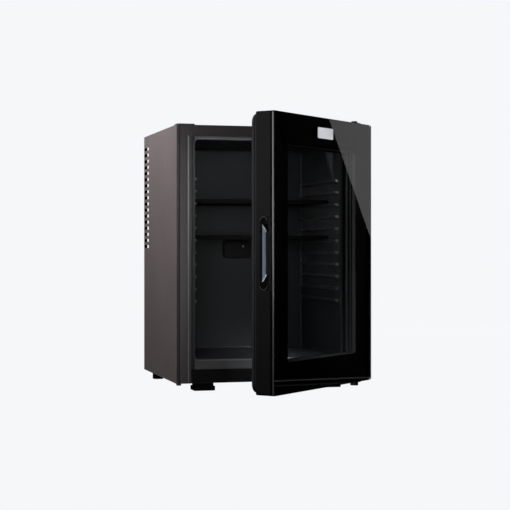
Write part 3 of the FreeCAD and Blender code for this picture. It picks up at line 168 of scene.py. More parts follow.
def ramp(add, source, stops):
    """Colour ramp over a value; each stop is a place and a grey or a colour."""
    node = add("ShaderNodeValToRGB", {"Fac": source})
    for element, (place, color) in zip(node.color_ramp.elements, stops):
        element.position = place
        element.color = (*color, 1) if isinstance(color, tuple) else (color, color, color, 1)
    return node.outputs["Color"]


def scaled(add, source, low, high):
    """A value between zero and one, stretched to run from low to high."""
    return add("ShaderNodeMapRange", {"Value": source, "To Min": low, "To Max": high}).outputs[0]


def step(add, source, start, end):
    """Zero before start and one past end."""
    return add("ShaderNodeMapRange", {"Value": source, "From Min": start, "From Max": end}).outputs[0]


def math_node(add, operation, *sources):
    """Result of one mathematical operation."""
    return add("ShaderNodeMath", dict(enumerate(sources)), operation=operation).outputs[0]


def both(add, first, second):
    """One where both masks are one."""
    return math_node(add, "MULTIPLY", first, second)


def greatest(add, masks):
    """One where any of the masks is one."""
    result = masks[0]
    for mask in masks[1:]:
        result = math_node(add, "MAXIMUM", result, mask)
    return result


def distance(add, source, middle):
    """How far a value lies from a middle, on either side."""
    return math_node(add, "ABSOLUTE", math_node(add, "SUBTRACT", source, middle))


def bump(add, height, strength, deep):
    """Surface normal for a relief of a given depth."""
    inputs = {"Height": height, "Strength": strength, "Distance": deep}
    return add("ShaderNodeBump", inputs).outputs["Normal"]


def mixed(add, share, first, second):
    """First colour where the share is zero, second where it is one."""
    node = add("ShaderNodeMix", {"Factor": share}, data_type="RGBA")
    colors = [socket for socket in node.inputs if socket.type == "RGBA"]
    for socket, source in zip(colors, (first, second)):
        node.id_data.links.new(source, socket)
    return next(socket for socket in node.outputs if socket.type == "RGBA")


def dot(add, source, direction):
    """Length of a vector along a direction."""
    return add("ShaderNodeVectorMath", {0: source, 1: direction}, operation="DOT_PRODUCT").outputs["Value"]


def from_hinge(add, direction):
    """Reach of a point from the hinge axis along a direction of the door."""
    offset = add("ShaderNodeVectorMath", {0: object_place(add), 1: HINGE}, operation="SUBTRACT")
    return dot(add, offset.outputs[0], direction)


def along_axis(add, axis):
    """Place of a point along one axis of the shared frame."""
    return add("ShaderNodeSeparateXYZ", {0: object_place(add)}).outputs[axis]


def aside(add):
    """Distance of a point from the cabinet's middle plane."""
    return math_node(add, "ABSOLUTE", along_axis(add, "X"))


def near_front(add, front, end, full):
    """One up to a full depth behind a front, and zero past an end."""
    return step(add, along_axis(add, "Y"), front + end, front + full)


# Materials

# Noise values where the dark and the light tone are reached.
NOISE_LOW, NOISE_HIGH = 0.3, 0.7
MOULD_SCALE, MOULD_DETAIL = 6.0, 4.0
GLOSS_SCALE = 40.0
GRAIN_DETAIL, GRAIN_STRENGTH = 2.0, 0.35
PLAIN_SHINE = 0.5


def two_tones(add, source, dark, light):
    """Colour that runs from dark to light over a noise."""
    return ramp(add, source, [(NOISE_LOW, dark), (NOISE_HIGH, light)])


def clouds(add, scale, dark, light):
    """Small clouds of a dark and a light tone."""
    return two_tones(add, noise(add, scale), dark, light)


def mould_clouds(add, dark, light):
    """Wide soft clouds, as on moulded or painted faces."""
    return two_tones(add, noise(add, MOULD_SCALE, MOULD_DETAIL), dark, light)


def grained(add, feed, rough, grain_scale, grain_deep):
    """Uneven gloss and a fine grain."""
    feed("Roughness", scaled(add, noise(add, GLOSS_SCALE), *rough))
    feed("Normal", bump(add, noise(add, grain_scale, GRAIN_DETAIL), GRAIN_STRENGTH, grain_deep))


def coated(name, dark, light, rough, grain_scale, grain_deep, shine=PLAIN_SHINE):
    """Painted or moulded surface: cloudy colour, uneven gloss and a fine grain."""
    material, shader, add, feed = new_material(name)
    feed("Base Color", mould_clouds(add, dark, light))
    grained(add, feed, rough, grain_scale, grain_deep)
    set_values(shader, Specular_IOR_Level=shine)
    return material


PANEL_FRONT, PANEL_REAR = (corner.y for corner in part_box("left_side_panel"))
PANEL_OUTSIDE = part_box("right_side_panel")[1].x
# Depth of the painted shade on the folded front edges, and depth and blur of the painted shade on the
# panels' inner faces.
FOLD_DEEP, INSIDE_SHADE_DEEP, INSIDE_SHADE_BLUR = 0.8 * MM, 0.4 * MM, 0.1 * MM


def inside_panels(add):
    """One on the inner faces of the bent side panels, zero on their outer ones."""
    side = PANEL_OUTSIDE - INSIDE_SHADE_DEEP
    rear = PANEL_REAR - INSIDE_SHADE_DEEP
    within = step(add, aside(add), side, side - INSIDE_SHADE_BLUR)
    ahead = step(add, along_axis(add, "Y"), rear, rear - INSIDE_SHADE_BLUR)
    return both(add, within, ahead)


def casing_paint(name, rough, shine, shade_inside):
    """Graphite-brown powder coat, with painted shade darkening its folded front edges and its inner faces
    painted near black as shade.
    """
    material, shader, add, feed = new_material(name)
    paint = mould_clouds(add, (0.102, 0.084, 0.085), (0.118, 0.097, 0.098))
    painted_fold_shade = mould_clouds(add, (0.043, 0.036, 0.037), (0.051, 0.044, 0.045))
    set_values(shader, Specular_IOR_Level=shine)
    if shade_inside:
        # Painted shade: the inner faces of the panels are near black.
        inside_shade = mould_clouds(add, 0.0015, 0.0025)
        inside = inside_panels(add)
        paint = mixed(add, inside, paint, inside_shade)
        feed("Specular IOR Level", scaled(add, inside, shine, 0.0))
    # Painted shade: the forward-facing folded edges are darker.
    fold_shade_mask = near_front(add, PANEL_FRONT, FOLD_DEEP, FOLD_DEEP / 2)
    feed("Base Color", mixed(add, fold_shade_mask, paint, painted_fold_shade))
    grained(add, feed, rough, 900.0, 0.12 * MM)
    return material


def black_enamel():
    return coated("black_enamel", (0.012, 0.012, 0.013), (0.02, 0.02, 0.021), (0.34, 0.48), 700.0, 0.12 * MM)


FRAME_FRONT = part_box("front_frame")[0].y
FRAME_HALF, FRAME_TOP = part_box("front_frame")[1].x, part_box("front_frame")[1].z
RIDGE_PROUD = 1 * MM
RIDGE_MIDDLE, RIDGE_HALF, RIDGE_TOP = 174.5 * MM, 1.5 * MM, 533 * MM
# Depths behind the ridges' crest where their painted highlight is gone and where it is full.
RIDGE_HIGHLIGHT_END, RIDGE_HIGHLIGHT_FULL = 0.75 * RIDGE_PROUD, 0.5 * RIDGE_PROUD
GROOVE_WIDE, SEAM_WIDE, SEAM_BLUR = 2 * MM, 2 * MM, 0.2 * MM


def frame_shade_lines(add):
    """Lines of painted shade on the frame: beside its upright ridges, and where it meets the side panels."""
    height = along_axis(add, "Z")
    edge = RIDGE_HALF + GROOVE_WIDE
    beside = step(add, distance(add, aside(add), RIDGE_MIDDLE), edge + SEAM_BLUR, edge)
    grooves = both(add, beside, step(add, height, RIDGE_TOP, RIDGE_TOP - SEAM_BLUR))
    outer = step(add, aside(add), FRAME_HALF - SEAM_WIDE - SEAM_BLUR, FRAME_HALF - SEAM_WIDE)
    frame_seam_shade = both(add, outer, step(add, height, FRAME_TOP + SEAM_BLUR, FRAME_TOP))
    return greatest(add, [grooves, frame_seam_shade])


def frame_plastic():
    """Satin black moulding with a painted highlight on its proud ridges."""
    material, _, add, feed = new_material("frame_plastic")
    moulded = mould_clouds(add, (0.0165, 0.0135, 0.0143), (0.0205, 0.0168, 0.0178))
    painted_highlight = clouds(add, 50.0, (0.110, 0.104, 0.106), (0.135, 0.128, 0.130))
    painted_shade = clouds(add, 50.0, 0.007, 0.009)
    # Painted shade in the grooves beside the ridges and in the seams to the side panels.
    lined = mixed(add, frame_shade_lines(add), moulded, painted_shade)
    # Painted highlight: the proud ridges are paler.
    ridge = near_front(add, FRAME_FRONT, RIDGE_HIGHLIGHT_END, RIDGE_HIGHLIGHT_FULL)
    feed("Base Color", mixed(add, ridge, lined, painted_highlight))
    grained(add, feed, (0.28, 0.36), 1400.0, 0.04 * MM)
    return material


def plinth_plastic():
    return coated("plinth_plastic", 0.003, 0.0042, (0.5, 0.6), 1400.0, 0.06 * MM, shine=0.1)


LINER_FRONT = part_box("inner_liner")[0].y
LINER_SHINE = 0.25
FLANGE_DEEP = 1 * MM
# Mouth of the liner: half width, lowest and highest level and corner of its edge.
MOUTH_HALF, MOUTH_LOW, MOUTH_TOP, MOUTH_CORNER = 161.5 * MM, 64.5 * MM, 526.5 * MM, 9.5 * MM


def liner_plastic():
    """Grained dark grey moulding, its front flange with a painted highlight above and below the mouth and
    painted shade beside it.
    """
    material, shader, add, feed = new_material("liner_plastic")
    moulded = mould_clouds(add, (0.020, 0.0205, 0.0235), (0.0245, 0.025, 0.028))
    painted_highlight = clouds(add, 30.0, (0.056, 0.0565, 0.060), (0.064, 0.0645, 0.068))
    painted_shade = clouds(add, 30.0, (0.005, 0.005, 0.0058), (0.0065, 0.0065, 0.0073))
    front = near_front(add, LINER_FRONT, FLANGE_DEEP, FLANGE_DEEP / 2)
    side = step(add, aside(add), MOUTH_HALF - FLANGE_DEEP, MOUTH_HALF)
    # Painted highlight above and below the mouth, and painted shade beside it, on the front flange.
    feed("Base Color", mixed(add, front, moulded, mixed(add, side, painted_highlight, painted_shade)))
    grained(add, feed, (0.38, 0.48), 1600.0, 0.08 * MM)
    set_values(shader, Specular_IOR_Level=LINER_SHINE)
    return material


RIB_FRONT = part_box("right_shelf_ribs")[0].y
RIB_TIP_DEEP = 3 * MM
RIB_TIP_FULL = 0.6 * RIB_TIP_DEEP


def rib_plastic():
    """Liner plastic, with a painted highlight on the front tips of the ribs."""
    material, shader, add, feed = new_material("rib_plastic")
    moulded = mould_clouds(add, (0.031, 0.0315, 0.036), (0.038, 0.0385, 0.043))
    painted_highlight = clouds(add, 80.0, (0.10, 0.10, 0.105), (0.14, 0.14, 0.145))
    tip = near_front(add, RIB_FRONT, RIB_TIP_DEEP, RIB_TIP_FULL)
    # Painted highlight: the ribs' front tips are pale.
    feed("Base Color", mixed(add, tip, moulded, painted_highlight))
    grained(add, feed, (0.34, 0.44), 1600.0, 0.08 * MM)
    set_values(shader, Specular_IOR_Level=LINER_SHINE)
    return material


def shelf_plastic():
    return coated("shelf_plastic", 0.0018, 0.0028, (0.40, 0.52), 1500.0, 0.08 * MM, shine=0.05)


SEAM_SHADE_END = GLASS_REAR + 3.0 * MM
SEAM_SHADE_BLUR = 0.1 * MM


def door_plastic():
    """Satin near-black moulding, with painted shade in the seam behind the front glass, where the glass is
    bonded to it.
    """
    material, shader, add, feed = new_material("door_plastic")
    moulded = mould_clouds(add, (0.0065, 0.0065, 0.0070), (0.0085, 0.0085, 0.0090))
    seam_shade = clouds(add, 120.0, 0.0005, 0.0008)
    bare = step(add, from_hinge(add, DOOR_BACK), SEAM_SHADE_END - SEAM_SHADE_BLUR, SEAM_SHADE_END)
    # Painted shade: the frame is near black in the seam behind the front glass.
    feed("Base Color", mixed(add, bare, seam_shade, moulded))
    grained(add, feed, (0.36, 0.46), 1300.0, 0.06 * MM)
    set_values(shader, Specular_IOR_Level=0.03)
    return material


def rubber(name, dark, light, shine=0.15):
    return coated(name, dark, light, (0.62, 0.78), 1100.0, 0.1 * MM, shine)


FOAM_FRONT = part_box("foam_insulation")[0].y
TAPE_WIDE, TAPE_BLUR = 14 * MM, 0.2 * MM


def foam():
    """Rigid foam with its small closed cells, and black sealing tape along its front edges."""
    material, shader, add, feed = new_material("foam")
    cell = cells(add, 600.0)["Distance"]
    bare = ramp(add, cell, [(0.0, (0.62, 0.52, 0.30)), (0.8, (0.75, 0.66, 0.42))])
    tape = clouds(add, 90.0, 0.004, 0.007)
    taped = near_front(add, FOAM_FRONT, TAPE_WIDE + TAPE_BLUR, TAPE_WIDE)
    feed("Base Color", mixed(add, taped, bare, tape))
    feed("Normal", bump(add, cell, 0.5, 0.4 * MM))
    set_values(shader, Roughness=0.9)
    return material


def metal(name, dark, light, rough, stretch, scale):
    """Bare metal with a rolled or brushed direction."""
    material, shader, add, feed = new_material(name)
    lines = noise(add, scale, roughness=0.6, stretch=stretch)
    feed("Base Color", two_tones(add, lines, dark, light))
    feed("Roughness", scaled(add, lines, *rough))
    feed("Normal", bump(add, lines, 0.25, 0.04 * MM))
    set_values(shader, Metallic=1.0)
    return material


def hinge_steel():
    return metal("hinge_steel", 0.03, 0.05, rough=(0.3, 0.45), stretch=(1, 8, 1), scale=300.0)


def fin_aluminium():
    dark, light = (0.62, 0.63, 0.64), (0.74, 0.75, 0.76)
    return metal("fin_aluminium", dark, light, rough=(0.28, 0.42), stretch=(1, 1, 10), scale=200.0)


def zinc_sheet():
    """Galvanised sheet with spangles."""
    material, shader, add, feed = new_material("zinc_sheet")
    spangle = cells(add, 170.0)["Color"]
    feed("Base Color", ramp(add, spangle, [(0.2, 0.40), (0.8, 0.47)]))
    feed("Roughness", scaled(add, spangle, 0.42, 0.50))
    set_values(shader, Metallic=1.0)
    return material


LENS_MIDDLE = sum(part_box("lamp_lens"), Vector()) / 2
LENS_SPOT, LENS_BLUR = 2.5 * MM, 0.8 * MM


def lens_plastic():
    """Dark smoked lens with an orange spot at its middle."""
    material, shader, add, feed = new_material("lens_plastic")
    smoked = clouds(add, 300.0, (0.016, 0.011, 0.010), (0.022, 0.014, 0.012))
    orange = clouds(add, 300.0, (0.40, 0.08, 0.02), (0.52, 0.12, 0.03))
    away = add("ShaderNodeVectorMath", {0: object_place(add), 1: LENS_MIDDLE}, operation="DISTANCE")
    spot = step(add, away.outputs["Value"], LENS_SPOT + LENS_BLUR, LENS_SPOT)
    feed("Base Color", mixed(add, spot, smoked, orange))
    feed("Roughness", scaled(add, noise(add, 200.0), 0.12, 0.2))
    set_values(shader, IOR=1.5)
    return material


FRONT_GLASS_IOR, INNER_GLASS_IOR = 1.5, 1.2
GLASS_SMEAR = 0.012


def clear_glass(add, tint, ior):
    """Glass that shows what is behind it unbent, and mirrors on its near face by its angle."""
    through = add("ShaderNodeBsdfTransparent", {"Color": tint}).outputs[0]
    smears = scaled(add, noise(add, 18.0), 0.0, GLASS_SMEAR)
    mirror = add("ShaderNodeBsdfGlossy", {"Color": (1, 1, 1, 1), "Roughness": smears}).outputs[0]
    leaving = add("ShaderNodeNewGeometry").outputs["Backfacing"]
    entering = math_node(add, "SUBTRACT", 1.0, leaving)
    share = both(add, add("ShaderNodeFresnel", {"IOR": ior}).outputs[0], entering)
    return add("ShaderNodeMixShader", {0: share, 1: through, 2: mirror}).outputs[0]


WINDOW_BORDER = 60 * MM
PRINT_BLUR = 0.3 * MM
EDGE_DEEP, EDGE_SHINE = 1.0 * MM, 0.85
# Painted shade along the rear of the glass's edge, next to the seam, and where the edge is wholly bare of
# it.
EDGE_SHADE_WIDE = 1.3 * MM
BARE_START = 1.2 * EDGE_SHADE_WIDE


def pane_masks(add):
    """Printed border of the front glass, its edge, and the part of the edge that is free of painted shade.
    """
    printed, edges = [], []
    across = from_hinge(add, DOOR_ACROSS)
    height = along_axis(add, "Z")
    for source, low, high in ((across, GLASS_LEFT, GLASS_RIGHT), (height, GLASS_LOW, GLASS_TOP)):
        reach = distance(add, source, (low + high) / 2)
        half = (high - low) / 2
        printed.append(step(add, reach, half - WINDOW_BORDER - PRINT_BLUR, half - WINDOW_BORDER))
        edges.append(step(add, reach, half - EDGE_DEEP, half - EDGE_DEEP / 2))
    back = from_hinge(add, DOOR_BACK)
    rear_face = step(add, back, GLASS_REAR - PRINT_BLUR, GLASS_REAR - PRINT_BLUR / 2)
    border = both(add, greatest(add, printed), rear_face)
    edge = greatest(add, edges)
    bare_edge = both(add, edge, step(add, back, GLASS_REAR - EDGE_SHADE_WIDE, GLASS_REAR - BARE_START))
    return border, edge, bare_edge


def front_pane():
    """Toughened glass with a polished edge and a black ceramic border fired on its rear face; the rear of
    its edge is painted black as shade.
    """
    material, shader, add, feed = new_material("front_pane")
    border, edge, bare_edge = pane_masks(add)
    enamel_and_edge_shade = clouds(add, 25.0, 0.0006, 0.001)
    polished = clouds(add, 90.0, (0.018, 0.0185, 0.018), (0.022, 0.0225, 0.022))
    # The border's enamel colour also serves as painted shade on the rear of the edge.
    feed("Base Color", mixed(add, bare_edge, enamel_and_edge_shade, polished))
    feed("Roughness", scaled(add, noise(add, 60.0), 0.25, 0.35))
    feed("Specular IOR Level", scaled(add, bare_edge, 0.0, EDGE_SHINE))
    glass = clear_glass(add, (0.92, 0.93, 0.93, 1), FRONT_GLASS_IOR)
    solid = greatest(add, [border, edge])
    show(material, add("ShaderNodeMixShader", {0: solid, 1: glass, 2: shader.outputs[0]}).outputs[0])
    return material


def inner_pane():
    """Clear inner sheet of the double glazing."""
    material, _, add, _ = new_material("inner_pane")
    show(material, clear_glass(add, (0.95, 0.96, 0.96, 1), INNER_GLASS_IOR))
    return material


# Finger grip: its faces as read from the cup, then the recess as drawn in the part.
GRIP_FACE = along_door("handle_cup", DOOR_ACROSS)[0]
BEZEL_FRONT, BEZEL_REAR = along_door("handle_cup", DOOR_BACK)
BEZEL_LOW, BEZEL_TOP = (corner.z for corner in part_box("handle_cup"))
GRIP_LEVEL = (BEZEL_LOW + BEZEL_TOP) / 2
BEZEL_RIM, RIM_BLUR = 1.2 * MM, 0.1 * MM
GRIP_MOUTH_HALF, GRIP_FLOOR_HALF = 55.5 * MM, 41.5 * MM
GRIP_MOUTH_REAR, GRIP_FLOOR_REAR = BEZEL_REAR - 6.45 * MM, BEZEL_REAR - 8.15 * MM
GRIP_FLOOR, FLOOR_BLUR = GRIP_FACE + 11.5 * MM, 0.6 * MM
# Depths between which the recess's own colours begin, and how far its wall has to face forward to take the
# painted reflection.
RECESS_START, RECESS_FULL = GLASS_LEFT - 0.6 * MM, GLASS_LEFT + 0.4 * MM
LIT_WALL_START, LIT_WALL_FULL = 0.3, 0.35
# Painted shade in a dish with round ends about the recess.
DISH_MIDDLE, DISH_RADIUS, DISH_HALF = BEZEL_REAR - 9.8 * MM, 7.25 * MM, 69.75 * MM
DISH_BLUR = 0.2 * MM


def from_line(add, back, height):
    """Distance from the middle line of the grip's dish."""
    above = distance(add, height, GRIP_LEVEL)
    past_end = math_node(add, "MAXIMUM", math_node(add, "SUBTRACT", above, DISH_HALF - DISH_RADIUS), 0.0)
    beside = math_node(add, "SUBTRACT", back, DISH_MIDDLE)
    squares = [math_node(add, "MULTIPLY", leg, leg) for leg in (past_end, beside)]
    return math_node(add, "SQRT", math_node(add, "ADD", *squares))


def bezel_colors(add):
    """Bezel: satin plate with a painted highlight on its rim and painted shade in a dish about the recess.
    """
    height = along_axis(add, "Z")
    back = from_hinge(add, DOOR_BACK)
    rims = []
    for source, low, high in ((back, BEZEL_FRONT, BEZEL_REAR), (height, BEZEL_LOW, BEZEL_TOP)):
        edge = (high - low) / 2 - BEZEL_RIM
        rims.append(step(add, distance(add, source, (low + high) / 2), edge - RIM_BLUR, edge))
    plate = clouds(add, 30.0, 0.0040, 0.0054)
    painted_highlight = clouds(add, 60.0, 0.011, 0.015)
    dark = clouds(add, 40.0, 0.0008, 0.0014)
    flat = mixed(add, greatest(add, rims), plate, painted_highlight)
    # Painted shade: the dark dish stands for the shaded round ends of the recess.
    dish = step(add, from_line(add, back, height), DISH_RADIUS, DISH_RADIUS - DISH_BLUR)
    return mixed(add, dish, flat, dark)


def grip_plastic():
    """Finger cup: painted shade in a dark dish, a grey floor, and a blue-grey painted reflection on the wall
    behind the fingertips.
    """
    material, shader, add, feed = new_material("grip_plastic")
    across = from_hinge(add, DOOR_ACROSS)
    inside = step(add, across, RECESS_START, RECESS_FULL)
    floor = step(add, across, GRIP_FLOOR - FLOOR_BLUR, GRIP_FLOOR)
    forward = dot(add, add("ShaderNodeTexCoord").outputs["Normal"], -DOOR_BACK)
    wall = both(add, inside, step(add, forward, LIT_WALL_START, LIT_WALL_FULL))
    grey = clouds(add, 60.0, 0.012, 0.016)
    # Painted reflection: the forward-facing wall is blue-grey, as if mirroring a bluish light.
    recess = clouds(add, 60.0, (0.29, 0.345, 0.46), (0.34, 0.40, 0.52))
    bezel = mixed(add, floor, bezel_colors(add), grey)
    feed("Base Color", mixed(add, wall, bezel, recess))
    feed("Roughness", scaled(add, noise(add, 80.0), 0.34, 0.46))
    feed("Normal", bump(add, noise(add, 1300.0, GRAIN_DETAIL), 0.3, 0.06 * MM))
    set_values(shader, Specular_IOR_Level=0.02)
    return material


def label_plate():
    """Plain pale metal plate with a soft sheen."""
    material, _, add, feed = new_material("label_plate")
    lines = noise(add, 200.0, GRAIN_DETAIL, roughness=0.5, stretch=(1, 1, 12))
    feed("Base Color", two_tones(add, lines, (0.74, 0.74, 0.79), (0.80, 0.80, 0.85)))
    feed("Roughness", scaled(add, lines, 0.35, 0.5))
    return material


# Window trim: beads given by where they start and end behind the front glass.
TRIM_BEADS = ((0.5 * MM, 9.0 * MM), (11.7 * MM, 14.8 * MM), (19.3 * MM, 24.3 * MM))
TRIM_END = 27.5 * MM
TRIM_PLAY, TRIM_GROOVE, TRIM_PROUD, TRIM_ROUND = 0.05 * MM, 0.3 * MM, 1.2 * MM, 0.5 * MM
TRIM_SHINE = 0.2
WINDOW_CORNER = 6 * MM


def trim_plastic():
    """Satin grey beads with painted shade in the grooves between them."""
    material, _, add, feed = new_material("trim_plastic")
    beads = clouds(add, 20.0, (0.0105, 0.0108, 0.011), (0.0140, 0.0143, 0.0146))
    grooves = clouds(add, 60.0, 0.0012, 0.002)
    behind = math_node(add, "SUBTRACT", from_hinge(add, DOOR_BACK), GLASS_REAR)
    raised = []
    for start, end in TRIM_BEADS:
        begun = step(add, behind, start, start + TRIM_ROUND)
        not_ended = step(add, behind, end, end - TRIM_ROUND)
        raised.append(both(add, begun, not_ended))
    bead = greatest(add, raised)
    # Painted shade: the grooves between the beads are near black.
    feed("Base Color", mixed(add, bead, grooves, beads))
    feed("Specular IOR Level", scaled(add, bead, 0.0, TRIM_SHINE))
    grained(add, feed, (0.35, 0.45), 1300.0, 0.06 * MM)
    return material


def bead_plastic():
    """Satin bead with a painted highlight along its upper and lower runs."""
    material, shader, add, feed = new_material("bead_plastic")
    moulded = clouds(add, 30.0, (0.028, 0.0285, 0.031), (0.036, 0.0365, 0.039))
    painted_highlight = clouds(add, 30.0, (0.105, 0.106, 0.110), (0.125, 0.126, 0.130))
    upright = step(add, aside(add), MOUTH_HALF - MOUTH_CORNER, MOUTH_HALF)
    # Painted highlight on the bead's upper and lower runs.
    feed("Base Color", mixed(add, upright, painted_highlight, moulded))
    grained(add, feed, (0.32, 0.42), 1500.0, 0.05 * MM)
    set_values(shader, Specular_IOR_Level=0.3)
    return material


def housing_plastic():
    dark, light = (0.009, 0.009, 0.0095), (0.012, 0.012, 0.0125)
    return coated("housing_plastic", dark, light, (0.45, 0.55), 1400.0, 0.06 * MM, shine=0.15)


def lip_plastic():
    dark, light = (0.018, 0.018, 0.019), (0.025, 0.025, 0.027)
    return coated("lip_plastic", dark, light, (0.35, 0.45), 1300.0, 0.06 * MM)


# Pale blue-grey of the mitre fillets: a painted highlight.
def mitre_highlight():
    dark, light = (0.50, 0.54, 0.60), (0.60, 0.64, 0.70)
    return coated("mitre_highlight", dark, light, (0.3, 0.4), 1300.0, 0.06 * MM)


def dress(material, *names):
    """Give CAD nodes a material."""
    for name in names:
        slots = frame["nodes"][name].data.materials
        slots.clear()
        slots.append(material)


def dress_cabinet():
    """Materials of the cabinet's own nodes and of the shelves."""
    dress(casing_paint("casing_paint", (0.40, 0.50), 0.3, True), "left_side_panel", "right_side_panel")
    dress(casing_paint("top_paint", (0.60, 0.70), 0.05, False), "top_panel", "top_hinge_rail")
    dress(
        frame_plastic(), "front_frame", "upper_hinge_hole_cover", "lower_hinge_hole_plug",
        "electrical_box",
    )
    dress(plinth_plastic(), "plinth_panel")
    dress(foam(), "foam_insulation")
    dress(liner_plastic(), "inner_liner")
    dress(rib_plastic(), "left_shelf_ribs", "right_shelf_ribs")
    dress(shelf_plastic(), "upper_shelf", "lower_shelf")
    dress(housing_plastic(), "lamp_housing")
    dress(lens_plastic(), "lamp_lens")
    feet = rubber("foot_plastic", 0.0022, 0.0034, 0.05)
    dress(feet, "front_left_foot", "front_right_foot", "rear_left_foot", "rear_right_foot")


def dress_cooling_unit():
    """Materials of the nodes at the open back, and of the base that carries them."""
    dress(
        black_enamel(), "base_panel", "rear_cross_bar", "upper_unit_strap", "lower_unit_strap",
        "boiler_casing", "absorber_vessel", "vessel_saddles", "absorber_coil", "heat_exchanger_tube",
        "condenser_tube", "evaporator_feed_tube", "evaporator_return_tube",
    )
    dress(zinc_sheet(), "insulation_back_plate")
    dress(fin_aluminium(), "condenser_fins", "evaporator_plate")


def dress_door():
    """Materials of the door's nodes and of its hinges."""
    dress(
        hinge_steel(), "top_hinge_plate", "bottom_hinge_bracket", "top_hinge_pin", "bottom_hinge_pin",
        "bottom_hinge_nut", "top_hinge_screws", "bottom_hinge_screws",
    )
    dress(door_plastic(), "door_frame", "glazing_bead", "top_hinge_bush", "bottom_hinge_bush")
    gasket = rubber("gasket_rubber", (0.014, 0.014, 0.0155), (0.019, 0.019, 0.0205))
    dress(gasket, "door_gasket", "cord_gland")
    dress(rubber("magnet_rubber", (0.030, 0.027, 0.024), (0.045, 0.040, 0.036)), "gasket_magnets")
    dress(front_pane(), "front_glass")
    dress(inner_pane(), "inner_glass")
    dress(grip_plastic(), "handle_cup")


# Pieces made here


def add_object(name, mesh_builder, material):
    """An object whose mesh a function fills."""
    mesh = bpy.data.meshes.new(name)
    work = bmesh.new()
    mesh_builder(work)
    work.to_mesh(mesh)
    work.free()
    mesh.materials.append(material)
    made = bpy.data.objects.new(name, mesh)
    bpy.context.scene.collection.objects.link(made)
    return made


def add_piece(name, mesh_builder, material, body):
    """A mesh piece that rides on a body, with its faces turned outward."""
    def build(work):
        mesh_builder(work)
        bmesh.ops.recalc_face_normals(work, faces=work.faces)

    piece = add_object(name, build, material)
    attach(piece, body)


CORNER_STEPS = 6


def rounded_outline(wide, high, radius):
    """Points of a rectangle with round corners, about its middle."""
    points = []
    for quarter in range(4):
        sign_x = 1 if quarter in (0, 3) else -1
        sign_y = 1 if quarter in (0, 1) else -1
        for part in range(CORNER_STEPS + 1):
            angle = (quarter + part / CORNER_STEPS) * math.pi / 2
            points.append((
                sign_x * (wide / 2 - radius) + radius * math.cos(angle),
                sign_y * (high / 2 - radius) + radius * math.sin(angle),
            ))
    return points


def door_ring(work, outline, back, level):
    """Points of an outline set parallel to the glass, about its middle at a level."""
    return [work.verts.new(door_point(GLASS_MIDDLE + x, back, level + y)) for x, y in outline]


def join_rings(work, rings):
    """Faces between each ring of points and the next one."""
    count = len(rings[0])
    for lower, upper in zip(rings, rings[1:]):
        for i in range(count):
            j = (i + 1) % count
            work.faces.new((lower[i], lower[j], upper[j], upper[i]))


def close_rings(work, rings):
    """Faces between the rings, and over the first and the last one."""
    join_rings(work, rings)
    work.faces.new(rings[0])
    work.faces.new(rings[-1])


LABEL_WIDE, LABEL_HIGH, LABEL_THICK = 62 * MM, 22 * MM, 0.7 * MM
LABEL_CORNER, LABEL_BEVEL = 2 * MM, 0.25 * MM
LABEL_LEVEL = GLASS_TOP - 31 * MM


def bare_label(work):
    """Plain plate on the front glass, with a rounded rim."""
    rings = []
    for inset, proud in ((0, 0), (0, LABEL_THICK - LABEL_BEVEL), (LABEL_BEVEL, LABEL_THICK)):
        outline = rounded_outline(LABEL_WIDE - 2 * inset, LABEL_HIGH - 2 * inset, LABEL_CORNER)
        rings.append(door_ring(work, outline, GLASS_FRONT - proud, LABEL_LEVEL))
    close_rings(work, rings)


def window_trim(work):
    """Trim round the window between the two panes: three beads with grooves between them."""
    wide = GLASS_RIGHT - GLASS_LEFT - 2 * WINDOW_BORDER
    high = GLASS_TOP - GLASS_LOW - 2 * WINDOW_BORDER
    level = (GLASS_LOW + GLASS_TOP) / 2
    profile = [(TRIM_BEADS[0][0], TRIM_PLAY)]
    for start, end in TRIM_BEADS:
        profile += [(start, TRIM_GROOVE), (start + TRIM_ROUND, TRIM_PROUD)]
        profile += [(end - TRIM_ROUND, TRIM_PROUD), (end, TRIM_GROOVE)]
    profile += [(TRIM_END, TRIM_GROOVE), (TRIM_END, TRIM_PLAY)]
    rings = []
    for behind, inset in profile:
        outline = rounded_outline(wide - 2 * inset, high - 2 * inset, WINDOW_CORNER - inset)
        rings.append(door_ring(work, outline, GLASS_REAR + behind, level))
    join_rings(work, rings + rings[:1])


BEAD_WIDE, BEAD_PROUD, BEAD_STEPS = 1.8 * MM, 0.6 * MM, 6


def mouth_bead(work):
    """Half-round bead round the mouth of the liner, on its front flange."""
    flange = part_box("inner_liner")[0].y
    level = (MOUTH_LOW + MOUTH_TOP) / 2
    rings = []
    for part in range(BEAD_STEPS + 1):
        angle = math.pi * part / BEAD_STEPS
        outset = BEAD_WIDE / 2 * (1 - math.cos(angle))
        depth = flange - BEAD_PROUD * math.sin(angle)
        wide = 2 * (MOUTH_HALF + outset)
        high = MOUTH_TOP - MOUTH_LOW + 2 * outset
        outline = rounded_outline(wide, high, MOUTH_CORNER + outset)
        rings.append([work.verts.new((x, depth, level + y)) for x, y in outline])
    join_rings(work, rings + rings[:1])


LIP_WIDE, LIP_PROUD, LIP_STEPS = 1.2 * MM, 0.5 * MM, 24
# Corners of the lip's section, in shares of its width and of its height.
LIP_SECTION = ((-0.5, 0), (-0.25, 1), (0.25, 1), (0.5, 0))


